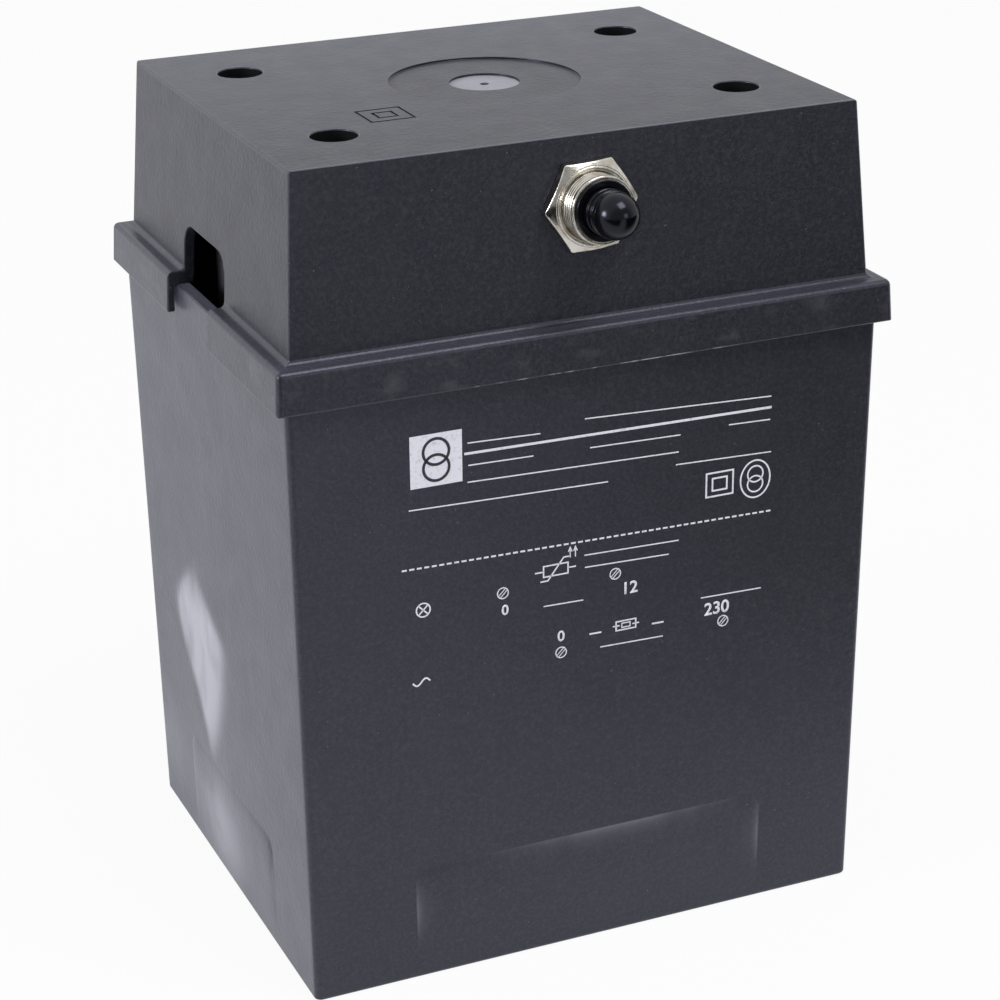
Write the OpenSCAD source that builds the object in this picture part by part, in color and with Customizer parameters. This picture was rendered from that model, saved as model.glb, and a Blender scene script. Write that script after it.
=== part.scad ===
// Lighting transformer. A moulded tub holds a two-chamber transformer under potting resin, and
// a wiring cover with a push-to-reset circuit breaker closes it. Millimetres, +Z up, the printed
// face and the reset button look along -Y, and the origin is the middle of the tub's underside.

/* [Core and coil] */
// Width of each outer leg and yoke of the core sheets; the centre leg is twice as wide
leg_w = 16; // [15:0.5:17]
// Width of each window in the core sheets
window_w = 16; // [15:0.5:17]
// Length of each window in the core sheets
window_l = 48; // [46:0.5:50]
// Height of the stack of core sheets
stack_h = 60; // [54:1:66]
// Number of packets that the sheets are laid in, every other one turned round
packets = 6; // [4:1:8]
// Diameter of the bolts through the stack
core_bolt_d = 5; // [4:0.5:5.5]
// How far the coil stands above and below the stack
coil_build = 15; // [14:0.5:16]
// Thickness of the bobbin's tube and flanges
bobbin_wall = 1.6; // [1.2:0.1:2]
// Gap between the centre leg and the bobbin's tube
bobbin_gap = 0.4; // [0.3:0.1:0.6]
// Share of the winding length that the primary takes
primary_share = 0.55; // [0.5:0.01:0.56]
// How far the tape stays inside the edge of the flanges
winding_inset = 1.2; // [0.8:0.1:2]
// Outer corner radius of the windings
winding_r = 8; // [6:0.5:10]
// Thickness of the tape round each winding
tape_t = 0.4; // [0.3:0.1:0.8]
// Diameter of the thermal fuse
fuse_d = 4; // [3:0.5:5]
// Length of the thermal fuse
fuse_l = 12; // [10:0.5:13]

/* [Tub] */
// Gap between the core and the tub at each side
side_gap = 2.8; // [2:0.1:4]
// Gap between the core and the tub at the front and back
end_gap = 1.3; // [1:0.1:3]
// Thickness of the tub's walls
tub_wall = 2.5; // [2:0.1:3]
// Thickness of the tub's floor
tub_floor = 2.5; // [2:0.1:4]
// How much further out each wall stands at the rim than at the floor
tub_draft = 1.1; // [0.5:0.1:2]
// Resin under the coil
coil_under = 2; // [1:0.5:4]
// Resin over the coil
coil_over = 3.5; // [3:0.5:6]
// Height of the tub's rim above the terminal plate
bay_h = 15.5; // [14:0.5:18]
// Width of the raised pad low on the front and the back
pad_w = 68; // [50:1:76]
// Width of the raised pad low on each side
side_pad_w = 47; // [40:1:56]
// Height of each pad
pad_h = 16; // [12:1:20]
// Height of the lower edge of each pad
pad_lift = 6; // [4:1:8]
// How far the pads stand out
pad_t = 0.3; // [0.2:0.1:0.6]
// Corner radius of the pads
pad_r = 3; // [2:0.5:4]

/* [Cover] */
// Height of the cover's top above the tub's rim
cover_rise = 33.5; // [33:0.5:38]
// Thickness of the cover's walls
cover_wall = 2; // [1.6:0.1:2.4]
// Thickness of the cover's top
cover_top_t = 2.2; // [1.8:0.1:2.8]
// How far the foot of the cover's walls stands in from the rim
cover_step = 1.2; // [0.8:0.1:2]
// How far each cover wall leans in over its height
cover_draft = 2.2; // [1.2:0.1:3]
// Height of the ledge that rests on the rim
ledge_h = 2.4; // [2:0.1:3.5]
// Gap between the skirt and the tub
skirt_gap = 0.6; // [0.4:0.1:1]
// Thickness of the skirt at its lower edge
skirt_t = 1.5; // [1.2:0.1:2]
// How much thinner the skirt is at its upper edge
skirt_lean = 0.4; // [0.2:0.1:0.6]
// Height of the skirt's upper edge above the rim
skirt_rise = 1.8; // [0.8:0.1:1.9]
// Depth of the skirt below the rim
skirt_drop = 5; // [3:0.1:6]
// Width of the cable slots
slot_w = 22.4; // [20:0.2:24]
// Height of the cable slots above the rim
slot_rise = 11.2; // [10:0.2:12]
// Radius of the slots' upper corners
slot_r = 4; // [2:0.5:6]
// How far the slots sit behind the middle
slot_shift = 0.7; // [0:0.1:1.5]
// Distance of the cover screws from the left and right edges of the top
screw_side = 14; // [12:0.5:15]
// Distance of the cover screws from the front and back edges of the top
screw_front = 17.5; // [14:0.5:18]
// Diameter of the screw wells
well_d = 8; // [7.8:0.1:9]
// Thickness of the wells' walls
well_wall = 2; // [1.5:0.1:2.2]
// Thickness of the floor that each screw head presses on
well_floor = 3; // [2:0.2:4]
// Diameter of the cover screws
cover_screw_d = 4; // [3:0.5:4]
// Length of the cover screws under their heads
cover_screw_l = 16; // [12:1:16]
// Diameter of the ring-shaped recess in the top
ring_d = 34; // [30:1:36]
// Depth of that recess
ring_depth = 0.4; // [0.2:0.1:0.6]
// Diameter of the deeper disc in its middle
disc_d = 12.5; // [10:0.5:16]
// Depth of the disc
disc_depth = 0.8; // [0.6:0.1:1]
// Diameter of the gate mark in the disc
dot_d = 1.5; // [1:0.1:2]
// Outer size of the double-square mark
mark_size = 8.2; // [7:0.2:9]
// Inner size of the double-square mark
mark_inner = 3.8; // [3:0.1:5]
// Line width of the double-square mark
mark_line = 0.5; // [0.4:0.1:0.8]
// Distance of the mark to the left of the middle
mark_x = 24.6; // [23:0.1:26]
// Distance of the mark in front of the middle
mark_y = 15.1; // [14:0.1:16]
// Depth of the mark
mark_depth = 0.3; // [0.2:0.1:0.5]

/* [Circuit breaker] */
// Distance from the cover's top down to the breaker's axis
breaker_drop = 11.4; // [10.5:0.1:11.5]
// Width of the breaker's housing
breaker_w = 34; // [32:1:36]
// Height of the breaker's housing
breaker_h = 15; // [14:0.5:15]
// Length of the housing's front shell
breaker_l = 20; // [20:0.5:23]
// Thickness of the housing's walls
breaker_wall = 1.6; // [1.2:0.1:1.8]
// Thickness of the housing's back
back_t = 4; // [3:0.5:5]
// Diameter of the threaded neck
neck_d = 11.5; // [11:0.1:11.6]
// How far the neck stands out of the cover
neck_out = 6.5; // [6:0.5:8]
// Bore of the neck
neck_bore = 9; // [8.6:0.1:9.4]
// Wall of the sleeve inside the neck
bush_wall = 0.4; // [0.3:0.05:0.45]
// How far the sleeve's rim stands out of the neck
bush_rim = 0.5; // [0.3:0.1:0.8]
// Width of the neck's nut across its flats
nut_af = 14.7; // [13.5:0.1:15]
// Thickness of the neck's nut
nut_t = 2.8; // [2:0.1:3.5]
// How far round the nut was left when it was tightened, in degrees
nut_turn = 3; // [0:1:30]
// Thickness of the lock washer behind the wall
washer_t = 0.8; // [0.5:0.1:1.2]
// Distance from the cover's wall to the tip of the button
button_out = 14.8; // [14:0.1:16]
// How far the button springs out when the breaker trips
trip_travel = 2.5; // [2:0.1:2.8]
// Length of the coil spring while the button is in
spring_l = 4.5; // [4.2:0.1:4.8]
// Mean diameter of the coil spring
spring_d = 5.6; // [5:0.1:6]
// Wire diameter of the coil spring
spring_wire = 0.6; // [0.4:0.05:0.65]
// Number of turns in the coil spring
spring_turns = 4; // [3:1:4]
// Distance of each tab to one side of the breaker's axis
tab_x = 9; // [8.5:0.5:10]
// Width of the tabs
tab_w = 6.3; // [4.8:0.1:6.3]
// Thickness of the tabs
tab_t = 0.8; // [0.5:0.1:0.9]
// How far the tabs stand out of the housing
tab_out = 8; // [7:0.5:9]

/* [Terminal plate] */
// Thickness of the plate on top of the resin
plate_t = 2.5; // [2:0.1:4]
// Gap between the plate and the tub
plate_gap = 0.5; // [0.3:0.1:0.8]
// Diameter of the pillars that take the cover screws
pillar_d = 9; // [8.5:0.1:10]
// Diameter of the threaded inserts in the pillars
insert_d = 6; // [5.5:0.1:6.5]
// Length of the threaded inserts
insert_l = 10; // [8:0.5:12]
// Thickness of the card between the primary and the secondary side
barrier_t = 1.6; // [1.2:0.1:2]
// Gap between that card and the breaker above it
barrier_gap = 2; // [1.5:0.1:4]
// Distance of the cable grips from the inside of the cover's side walls
grip_side = 8.2; // [7.4:0.2:8.6]
// Distance of each grip's posts from the middle of the cable
grip_y = 13; // [12.5:0.5:13]
// Diameter of the posts
post_d = 7; // [6.5:0.5:7]
// Height of the grips' posts above the plate
post_h = 19; // [17:0.5:20]
// Height of the cradle between the posts
cradle_h = 13; // [11:0.5:13]
// Thickness of each grip's clamping bar
grip_t = 3.5; // [3:0.5:5]
// Diameter of the grips' screws
grip_screw_d = 3; // [2.5:0.5:3.5]

/* [Terminals] */
// Length of each terminal block, outwards from the middle
block_w = 22; // [21:0.5:23]
// Thickness of the blocks' front and back walls
block_wall = 1.8; // [1.2:0.1:2.5]
// Distance of each block from the middle
block_gap = 8; // [7.5:0.5:8.5]
// Thickness of the blocks' floor
block_floor = 2.2; // [1.8:0.1:3]
// Thickness of the lip that keeps the screws in
block_lip = 1.2; // [1:0.1:2]
// Distance of the terminals to each side of the middle
terminal_x = 19; // [18.5:0.5:20]
// Distance of the terminals in front of and behind the middle
terminal_y = 9; // [8.8:0.1:9.2]
// Height of the space for the wire while a clamp is open
wire_gap = 4.6; // [4.4:0.1:5.2]
// Thickness of the contact bars
bar_t = 1.6; // [1.2:0.1:2]
// Width of the contact bars
bar_w = 5.8; // [5:0.1:6]
// Distance of the bars' inner ends from the middle
bar_in = 4.6; // [4:0.1:5]
// Wall thickness of the clamping cages
cage_wall = 1.2; // [1:0.1:1.3]
// Thickness of the cages' threaded top
cage_top = 2.2; // [1.8:0.1:3]
// Length of the cages along the wire
cage_l = 6.6; // [6.6:0.1:8]
// How far a cage rises when its screw is turned home
cage_travel = 2.8; // [2:0.1:3]
// Diameter of the terminal screws
terminal_screw_d = 4; // [3:0.5:4]
// Diameter of the terminal screws' heads
terminal_head_d = 6.4; // [6.2:0.1:6.6]
// Height of the terminal screws' heads
terminal_head_h = 2.6; // [2:0.1:3]
// Diameter of the screws that hold the blocks
block_screw_d = 3; // [2.5:0.5:3]

/* [Leads] */
// Diameter of the secondary leads over their insulation
lead_d = 2.6; // [2.2:0.1:2.8]
// Diameter of the primary leads over their insulation
thin_lead_d = 2.2; // [1.8:0.1:2.4]
// Radius that the breaker's leads bend on
lead_bend = 4; // [3.5:0.25:4.5]

/* [Hidden] */
$fn = 48;

// How far a cut runs past the face that it opens
over = 1;
// Clearance between pieces that are fitted together
fit = 0.05;
// Clearance between pieces that move past each other, or that resin surrounds
room = 0.3;

// Core: half sizes of the sheets, and the levels of coil, stack, resin, plate and rim
core_half = [2 * leg_w + window_w, window_l / 2 + leg_w];
coil_z = tub_floor + coil_under;
coil_h = stack_h + 2 * coil_build;
core_z = coil_z + coil_build;
core_mid = core_z + stack_h / 2;
resin_z = coil_z + coil_h + coil_over;
plate_top = resin_z + plate_t;
tub_h = plate_top + bay_h;
total_h = tub_h + cover_rise;

// Half width and half depth of the tub, the rim and the cover at a height
function tub_out(z) = core_half + [side_gap + tub_wall, end_gap + tub_wall]
    + [1, 1] * tub_draft * z / tub_h;
function tub_in(z) = tub_out(z) - [1, 1] * tub_wall;
function cover_out(z) = tub_out(tub_h)
    - [1, 1] * (cover_step + cover_draft * (z - tub_h) / cover_rise);
function cover_in(z) = cover_out(z) - [1, 1] * cover_wall;
ledge_half = tub_out(tub_h) + [1, 1] * skirt_gap;
skirt_half = ledge_half + [1, 1] * skirt_t;

// A box given by its half sizes and its two levels
module block(half, low, high) {
    translate([-half.x, -half.y, low])
        cube([2 * half.x, 2 * half.y, high - low]);
}

// A box whose four walls lean evenly from the half sizes at the low level to those at the high
module leaning_block(half_low, half_high, low, high) {
    reach = 2 * (max(half_low) + max(half_high));
    intersection() {
        rotate([90, 0, 0])
            linear_extrude(reach, center = true)
                polygon([[-half_low.x, low], [half_low.x, low],
                         [half_high.x, high], [-half_high.x, high]]);
        rotate([90, 0, 90])
            linear_extrude(reach, center = true)
                polygon([[-half_low.y, low], [half_low.y, low],
                         [half_high.y, high], [-half_high.y, high]]);
    }
}

// An upright ring or bore between two levels
module rod(d, low, high) {
    translate([0, 0, low])
        cylinder(d = d, h = high - low);
}

// A flat rectangle with round corners, centred
module rounded_rect(w, h, r) {
    square([w, h - 2 * r], center = true);
    square([w - 2 * r, h], center = true);
    for (x = [-1, 1], y = [-1, 1])
        translate([x * (w / 2 - r), y * (h / 2 - r)])
            circle(r);
}

// A screw with a round head and a crossed recess, its head resting at z = 0
module screw(d, length, head_d, head_h) {
    recess_w = head_d / 6;
    recess_l = head_d / 2;
    difference() {
        union() {
            rod(d, -length, head_h / 2);
            rod(head_d, 0, head_h);
        }
        for (turn = [0, 90])
            rotate([0, 0, turn])
                block([recess_l / 2, recess_w / 2], head_h / 2, head_h + over);
    }
}

function unit(v) = v / norm(v);
function heading(path, i) = unit(path[min(i + 1, len(path) - 1)] - path[max(i - 1, 0)]);
function across(t) = unit(cross(t, abs(t.x) < abs(t.y) ? [1, 0, 0] : [0, 1, 0]));
function carried(path, i = 0, sides = []) = i == len(path) ? sides
    : let (t = heading(path, i), n = i == 0 ? across(t) : sides[i - 1])
      carried(path, i + 1, concat(sides, [unit(n - t * (n * t))]));

// A round tube along a path: each ring stands square to the path, and its start is carried
// from ring to ring so that the tube doesn't twist
module tube(path, d, sides = 8) {
    start = carried(path);
    count = len(path);
    points = [
        for (i = [0:count - 1], k = [0:sides - 1])
            let (t = heading(path, i), n = start[i], b = cross(t, n), a = 360 * k / sides)
                path[i] + d / 2 * (n * cos(a) + b * sin(a))
    ];
    walls = [
        for (i = [0:count - 2], k = [0:sides - 1])
            let (a = i * sides, b = a + sides, m = (k + 1) % sides)
                each [[a + k, b + k, a + m], [b + k, b + m, a + m]]
    ];
    first = [for (k = [1:sides - 2]) [0, k, k + 1]];
    last_ring = (count - 1) * sides;
    last = [for (k = [1:sides - 2]) [last_ring, last_ring + k + 1, last_ring + k]];
    polyhedron(points, concat(walls, first, last));
}

// A smooth curve through hand-set points, with a few steps between each two
function curve_point(a, b, c, d, t) = 0.5 * (2 * b + (c - a) * t
    + (2 * a - 5 * b + 4 * c - d) * t * t + (3 * b - a - 3 * c + d) * t * t * t);
function curve(p, steps = 3) = let (last = len(p) - 1) concat(
    [for (i = [0:last - 1], s = [0:steps - 1])
        curve_point(p[max(i - 1, 0)], p[i], p[i + 1], p[min(i + 2, last)], s / steps)],
    [p[last]]);

// The tub: an open moulded box with a faint raised pad low on each wall
module wall_pads(w, spread) {
    lip = [0, 1] * pad_t;
    half_low = tub_out(0) + lip;
    half_high = tub_out(tub_h) + lip;
    intersection() {
        leaning_block(half_low, half_high, 0, tub_h);
        rotate([90, 0, 0])
            linear_extrude(spread, center = true)
                translate([0, pad_lift + pad_h / 2])
                    rounded_rect(w, pad_h, pad_r);
    }
}

module case_tub() {
    pad_reach = 2 * (tub_out(tub_h).y + pad_t);
    color("#303034")
    difference() {
        union() {
            leaning_block(tub_out(0), tub_out(tub_h), 0, tub_h);
            wall_pads(pad_w, pad_reach);
            side_pads();
        }
        leaning_block(tub_in(tub_floor), tub_in(tub_h + over), tub_floor, tub_h + over);
    }
}

module side_pads() {
    lip = [1, 0] * pad_t;
    intersection() {
        leaning_block(tub_out(0) + lip, tub_out(tub_h) + lip, 0, tub_h);
        rotate([90, 0, 90])
            linear_extrude(2 * (tub_out(tub_h).x + pad_t), center = true)
                translate([0, pad_lift + pad_h / 2])
                    rounded_rect(side_pad_w, pad_h, pad_r);
    }
}

// Core: sheets of one leg width, in packets that are turned round one after the other
bolt_at = [core_half.x - leg_w / 2, core_half.y - leg_w / 2];
core_hole_d = core_bolt_d + 2 * room;
packet_h = stack_h / packets;

module bolt_places() {
    for (x = [-1, 1], y = [-1, 1])
        translate([x * bolt_at.x, y * bolt_at.y, 0])
            children();
}

module each_packet() {
    for (i = [0:packets - 1])
        translate([0, 0, core_z + i * packet_h])
            rotate([0, 0, 180 * (i % 2)])
                children();
}

module packet_holes(side) {
    for (x = [-1, 1])
        translate([x * bolt_at.x, side * bolt_at.y, 0])
            rod(core_hole_d, -over, packet_h + over);
}

// The E sheets' legs lie in line from packet to packet, and their yokes at alternate ends
module core_e_sheets() {
    color("#8b8f94") {
        block([leg_w, window_l / 2], core_z, core_z + stack_h);
        for (side = [-1, 1])
            translate([side * (core_half.x - leg_w / 2), 0, 0])
                block([leg_w / 2, window_l / 2], core_z, core_z + stack_h);
        each_packet()
            difference() {
                translate([-core_half.x, window_l / 2, 0])
                    cube([2 * core_half.x, leg_w, packet_h]);
                packet_holes(1);
            }
    }
}

module core_i_sheets() {
    color("#7d8186")
    each_packet()
        difference() {
            translate([-core_half.x, -core_half.y, 0])
                cube([2 * core_half.x, leg_w, packet_h]);
            packet_holes(-1);
        }
}

// Bolts through the stack, each with a washer under its head and under its nut
core_washer_t = 1;
core_nut_t = 4;
core_head_t = 3.5;
core_head_af = 8;
core_washer_d = 10;
bolt_tail = 1.5;

function corner_d(af) = af / cos(30);

module core_bolts() {
    color("#b5b8bb")
    bolt_places() {
        under = core_z - core_washer_t;
        rod(core_bolt_d, under, core_z + stack_h + core_washer_t + core_nut_t + bolt_tail);
        translate([0, 0, under - core_head_t])
            cylinder(d = corner_d(core_head_af), h = core_head_t, $fn = 6);
    }
}

module core_washers() {
    color("#c4c7ca")
    bolt_places()
        for (z = [core_z - core_washer_t, core_z + stack_h])
            difference() {
                rod(core_washer_d, z, z + core_washer_t);
                rod(core_hole_d, z - over, z + core_washer_t + over);
            }
}

module core_nuts() {
    foot = core_z + stack_h + core_washer_t;
    color("#b5b8bb")
    bolt_places()
        difference() {
            translate([0, 0, foot])
                cylinder(d = corner_d(core_head_af), h = core_nut_t, $fn = 6);
            rod(core_bolt_d + 2 * fit, foot - over, foot + core_nut_t + over);
        }
}

// Bobbin: a square tube on the centre leg, with a flange at each end and one between windings
tube_half = [leg_w + bobbin_gap, stack_h / 2 + bobbin_gap];
wound_half = tube_half + [1, 1] * bobbin_wall;
flange_half = [leg_w + window_w - bobbin_gap, stack_h / 2 + coil_build];
bobbin_half_l = window_l / 2 - room;
winding_l = 2 * bobbin_half_l - 3 * bobbin_wall;
primary_end = bobbin_half_l - bobbin_wall;
primary_start = primary_end - primary_share * winding_l;
secondary_end = primary_start - bobbin_wall;
secondary_start = bobbin_wall - bobbin_half_l;
tape_half = flange_half - [1, 1] * winding_inset;
coil_half = tape_half - [1, 1] * tape_t;

// A closed band round the centre leg between two places along it
module band(half, r, from, to) {
    translate([0, to, core_mid])
        rotate([90, 0, 0])
            linear_extrude(to - from)
                rounded_rect(2 * half.x, 2 * half.y, r);
}

module leg_bore(half) {
    translate([0, 0, core_mid])
        cube([2 * half.x, 2 * core_half.y, 2 * half.y], center = true);
}

flange_r = 1;
module bobbin() {
    color("#d9d4c3")
    difference() {
        union() {
            band(wound_half, flange_r, -bobbin_half_l, bobbin_half_l);
            for (y = [-bobbin_half_l, secondary_end, primary_end])
                band(flange_half, flange_r, y, y + bobbin_wall);
        }
        leg_bore(tube_half);
        translate([fuse_x, 0, tail_z])
            rotate([-90, 0, 0])
                rod(tail_d + 2 * room, primary_end - over, bobbin_half_l + over);
    }
}

module winding(from, to) {
    difference() {
        band(coil_half, winding_r, from, to);
        leg_bore(wound_half);
    }
}

module winding_tape(from, to) {
    difference() {
        band(tape_half, winding_r + tape_t, from, to);
        band(coil_half + [fit, fit], winding_r, from - over, to + over);
    }
}

module primary_winding() { color("#b4643a") winding(primary_start, primary_end); }
module secondary_winding() { color("#c0703f") winding(secondary_start, secondary_end); }
module primary_tape() { color("#d8b24a") winding_tape(primary_start, primary_end); }
module secondary_tape() { color("#e0bd5c") winding_tape(secondary_start, secondary_end); }

// Thermal fuse: it stands on the back yoke against the primary's flange, in series with it
fuse_x = 12;
fuse_y = bobbin_half_l + room + fuse_d / 2;
fuse_top = resin_z - coil_over + room;
fuse_foot = fuse_top - fuse_l;
tail_d = 1;
tail_z = fuse_foot - tail_d;

module at_fuse() {
    translate([fuse_x, fuse_y, 0])
        children();
}

module thermal_fuse() {
    color("#c9ccd0")
    at_fuse()
        rod(fuse_d, fuse_foot, fuse_top);
}

module fuse_tail() {
    color("#d6d6d2")
    at_fuse() {
        rod(tail_d, tail_z, fuse_foot);
        translate([0, 0, tail_z])
            sphere(d = tail_d);
        translate([0, 0, tail_z])
            rotate([90, 0, 0])
                rod(tail_d, 0, fuse_y - primary_end - fit);
    }
}

// How deep a clamp's cage is, and the block round its two cages
window_half = bar_w / 2 + room;
cage_half = [cage_l / 2, window_half + cage_wall];
block_d = 2 * (terminal_y + cage_half.y + room + block_wall);

// Leads: corridor between the blocks and the barrier card where they climb to the bars
lead_x = (bar_in + block_gap) / 2;
lead_y = terminal_y - bar_w / 2 - room - lead_d / 2;
pri_lead_y = block_d / 2 + room + thin_lead_d / 2;
coil_top = core_mid + tape_half.y;

module lead_holes(low, high) {
    wide = lead_d + 2 * room;
    thin = thin_lead_d + 2 * room;
    for (y = [-terminal_y, -lead_y])
        translate([-lead_x, y, 0])
            rod(wide, low, high);
    translate([lead_x, pri_lead_y, 0])
        rod(thin, low, high);
    at_fuse()
        rod(thin, low, high);
}

// Resin: fills the tub round the coil and core up to the plate
module resin_fill() {
    bolt_low = core_z - core_washer_t - core_head_t - room;
    bolt_high = core_z + stack_h + core_washer_t + core_nut_t + bolt_tail + room;
    shell = [1, 1] * room;
    color("#3a2f2a")
    difference() {
        leaning_block(tub_in(tub_floor), tub_in(resin_z), tub_floor, resin_z);
        block(core_half + shell, core_z - room, core_z + stack_h + room);
        block([flange_half.x + room, bobbin_half_l + room], coil_z - room, coil_z + coil_h);
        bolt_places()
            rod(core_washer_d + 2 * room, bolt_low, bolt_high);
        at_fuse() {
            rod(fuse_d + 2 * room, fuse_foot, fuse_top + room);
            block([tail_d / 2 + room, fuse_d / 2 + room], tail_z - tail_d, fuse_foot + over);
        }
        lead_holes(coil_z + coil_h - over, resin_z + over);
    }
}

// Terminal plate: lies on the resin and carries pillars, cable grips, blocks and barrier card
pillar_top = tub_h - room;
screw_tip = tub_h + well_floor - cover_screw_l;
screw_x = cover_out(total_h).x - screw_side;
screw_y = cover_out(total_h).y - screw_front;
grip_x = cover_in(tub_h).x - grip_side;
rib_w = 1.5;
rib_h = 3;
barrier_half_l = screw_y + pillar_d + block_floor;
grip_w = post_d;
cradle_w = grip_w - 1;
cradle_half_l = grip_y - post_d / 2;
groove_d = 2 * cradle_half_l;
groove_depth = 1.5;

module screw_places() {
    for (x = [-1, 1], y = [-1, 1])
        translate([x * screw_x, y * screw_y, 0])
            children();
}

module grip_places() {
    for (x = [-1, 1], y = [-1, 1])
        translate([x * grip_x, y * grip_y, 0])
            children();
}

module block_screw_places() {
    inset = block_head_d / 2 + room + block_lip;
    for (side = [-1, 1], x = [block_gap + inset, block_gap + block_w - inset])
        translate([side * x, 0, 0])
            children();
}

module terminal_plate() {
    plate_half = tub_in(resin_z) - [1, 1] * plate_gap;
    grip_bore = grip_screw_d + 2 * fit;
    color("#4a4a4e")
    difference() {
        union() {
            block(plate_half, resin_z, plate_top);
            screw_places()
                rod(pillar_d, resin_z, pillar_top);
            grip_places()
                rod(post_d, resin_z, plate_top + post_h);
            for (side = [-1, 1])
                translate([side * grip_x, 0, 0])
                    block([cradle_w / 2, grip_y], resin_z, plate_top + cradle_h);
            for (side = [-1, 1])
                translate([side * (barrier_t / 2 + fit + rib_w / 2), 0, 0])
                    block([rib_w / 2, barrier_half_l], resin_z, plate_top + rib_h);
        }
        screw_places() {
            rod(insert_d + 2 * fit, pillar_top - insert_l, pillar_top + over);
            rod(cover_screw_d + 2 * room, screw_tip - room, pillar_top);
        }
        grip_places()
            rod(grip_bore, plate_top + over, plate_top + post_h + over);
        block_screw_places()
            rod(block_screw_d + 2 * fit, resin_z - over, plate_top + over);
        for (side = [-1, 1])
            translate([side * grip_x, 0, plate_top + cradle_h - groove_depth])
                rotate([0, 90, 0])
                    translate([-groove_d / 2, 0, 0])
                        cylinder(d = groove_d, h = grip_w + over, center = true);
        lead_holes(resin_z - over, plate_top + over);
    }
}

module pillar_inserts() {
    color("#c9a94f")
    screw_places()
        difference() {
            rod(insert_d, pillar_top - insert_l, pillar_top);
            rod(cover_screw_d + 2 * fit, pillar_top - insert_l - over, pillar_top + over);
        }
}

// Barrier card: stands between two ribs and parts the primary side from the secondary
module barrier_card() {
    color("#c8c2ae")
    block([barrier_t / 2, barrier_half_l], plate_top, barrier_top);
}

// Terminal blocks: two clamps each, with their mouths facing the nearer cable slot
pocket_z = plate_top + block_floor;
cage_z = pocket_z + room;
window_z = cage_z + cage_wall;
bar_z = window_z + wire_gap;
cage_roof = bar_z + bar_t + room;
cage_h = cage_roof + cage_top - cage_z;
head_z = cage_z + cage_h + cage_travel + room;
lip_z = head_z + terminal_head_h + room;
block_top = lip_z + block_lip;
bar_end = terminal_x + cage_half.x + cage_wall + room;
mouth_step = 1;
block_seat = 3.5;
block_head_d = 5.6;
block_head_h = 2.2;
driver_hole_d = terminal_head_d - 1;

module terminal_places() {
    for (y = [-1, 1])
        translate([-terminal_x, y * terminal_y, 0])
            children();
}

// The block on the secondary side; the primary one is its mirror image
module terminal_block() {
    outer = block_gap + block_w;
    difference() {
        translate([-outer, -block_d / 2, plate_top])
            cube([block_w, block_d, block_top - plate_top]);
        terminal_places() {
            block(cage_half + [room, room], pocket_z, head_z);
            rod(terminal_head_d + 2 * room, head_z - over, lip_z);
            rod(driver_hole_d, head_z, block_top + over);
        }
        for (y = [-1, 1])
            translate([0, y * terminal_y, 0]) {
                translate([-outer - over, -window_half, window_z])
                    cube([outer + over - terminal_x, 2 * window_half, wire_gap]);
                translate([-outer - over, -window_half - mouth_step, window_z - mouth_step])
                    cube([mouth_step + over, 2 * (window_half + mouth_step),
                          wire_gap + 2 * mouth_step]);
                translate([-bar_end - fit, -bar_w / 2 - fit, bar_z - fit])
                    cube([bar_end, bar_w + 2 * fit, bar_t + 2 * fit]);
            }
        block_screw_places() {
            rod(block_screw_d + 2 * fit, plate_top - over, block_top);
            rod(block_head_d + 2 * room, plate_top + block_seat, block_top + over);
        }
    }
}

module sec_terminal_block() { color("#3f6f8f") terminal_block(); }
module pri_terminal_block() { color("#8f4a3f") mirror([1, 0, 0]) terminal_block(); }

module block_screws() {
    color("#b9bcc0")
    block_screw_places()
        translate([0, 0, plate_top + block_seat])
            screw(block_screw_d, block_seat + plate_t - fit, block_head_d, block_head_h);
}

module contact_bars() {
    for (y = [-1, 1])
        translate([-bar_end, y * terminal_y - bar_w / 2, bar_z])
            cube([bar_end - bar_in, bar_w, bar_t]);
}

module sec_contact_bars() { color("#c8a655") contact_bars(); }
module pri_contact_bars() { color("#c8a655") mirror([1, 0, 0]) contact_bars(); }

// A clamp's screw turns on the spot with its tip on the bar, and its cage climbs the thread
module clamp_screw(x_side, y_side) {
    tip = bar_z + bar_t + fit;
    color("#c2c5c8")
    translate([x_side * terminal_x, y_side * terminal_y, head_z])
        screw(terminal_screw_d, head_z - tip, terminal_head_d, terminal_head_h);
}

module clamp_cage(x_side, y_side) {
    color("#a8acb0")
    translate([x_side * terminal_x, y_side * terminal_y, 0])
        difference() {
            block(cage_half, cage_z, cage_z + cage_h);
            block([cage_half.x + over, window_half], window_z, cage_roof);
            rod(terminal_screw_d + 2 * fit, cage_roof - over, cage_z + cage_h + over);
        }
}

module sec_screw_1() { clamp_screw(-1, -1); }
module sec_screw_2() { clamp_screw(-1, 1); }
module pri_screw_1() { clamp_screw(1, -1); }
module pri_screw_2() { clamp_screw(1, 1); }
module sec_cage_1() { clamp_cage(-1, -1); }
module sec_cage_2() { clamp_cage(-1, 1); }
module pri_cage_1() { clamp_cage(1, -1); }
module pri_cage_2() { clamp_cage(1, 1); }

// Cable grips: a bar over each cradle, screwed to its two posts
grip_head_d = 5.6;
grip_head_h = 2.2;
grip_screw_l = 12;

module grip_bar(side) {
    foot = plate_top + post_h;
    color("#5a5a5e")
    difference() {
        translate([side * grip_x, 0, 0]) {
            block([grip_w / 2, grip_y], foot, foot + grip_t);
            for (y = [-1, 1])
                translate([0, y * grip_y, 0])
                    rod(grip_w, foot, foot + grip_t);
        }
        grip_places()
            rod(grip_screw_d + 2 * fit, foot - over, foot + grip_t + over);
    }
}

module sec_grip_bar() { grip_bar(-1); }
module pri_grip_bar() { grip_bar(1); }

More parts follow.
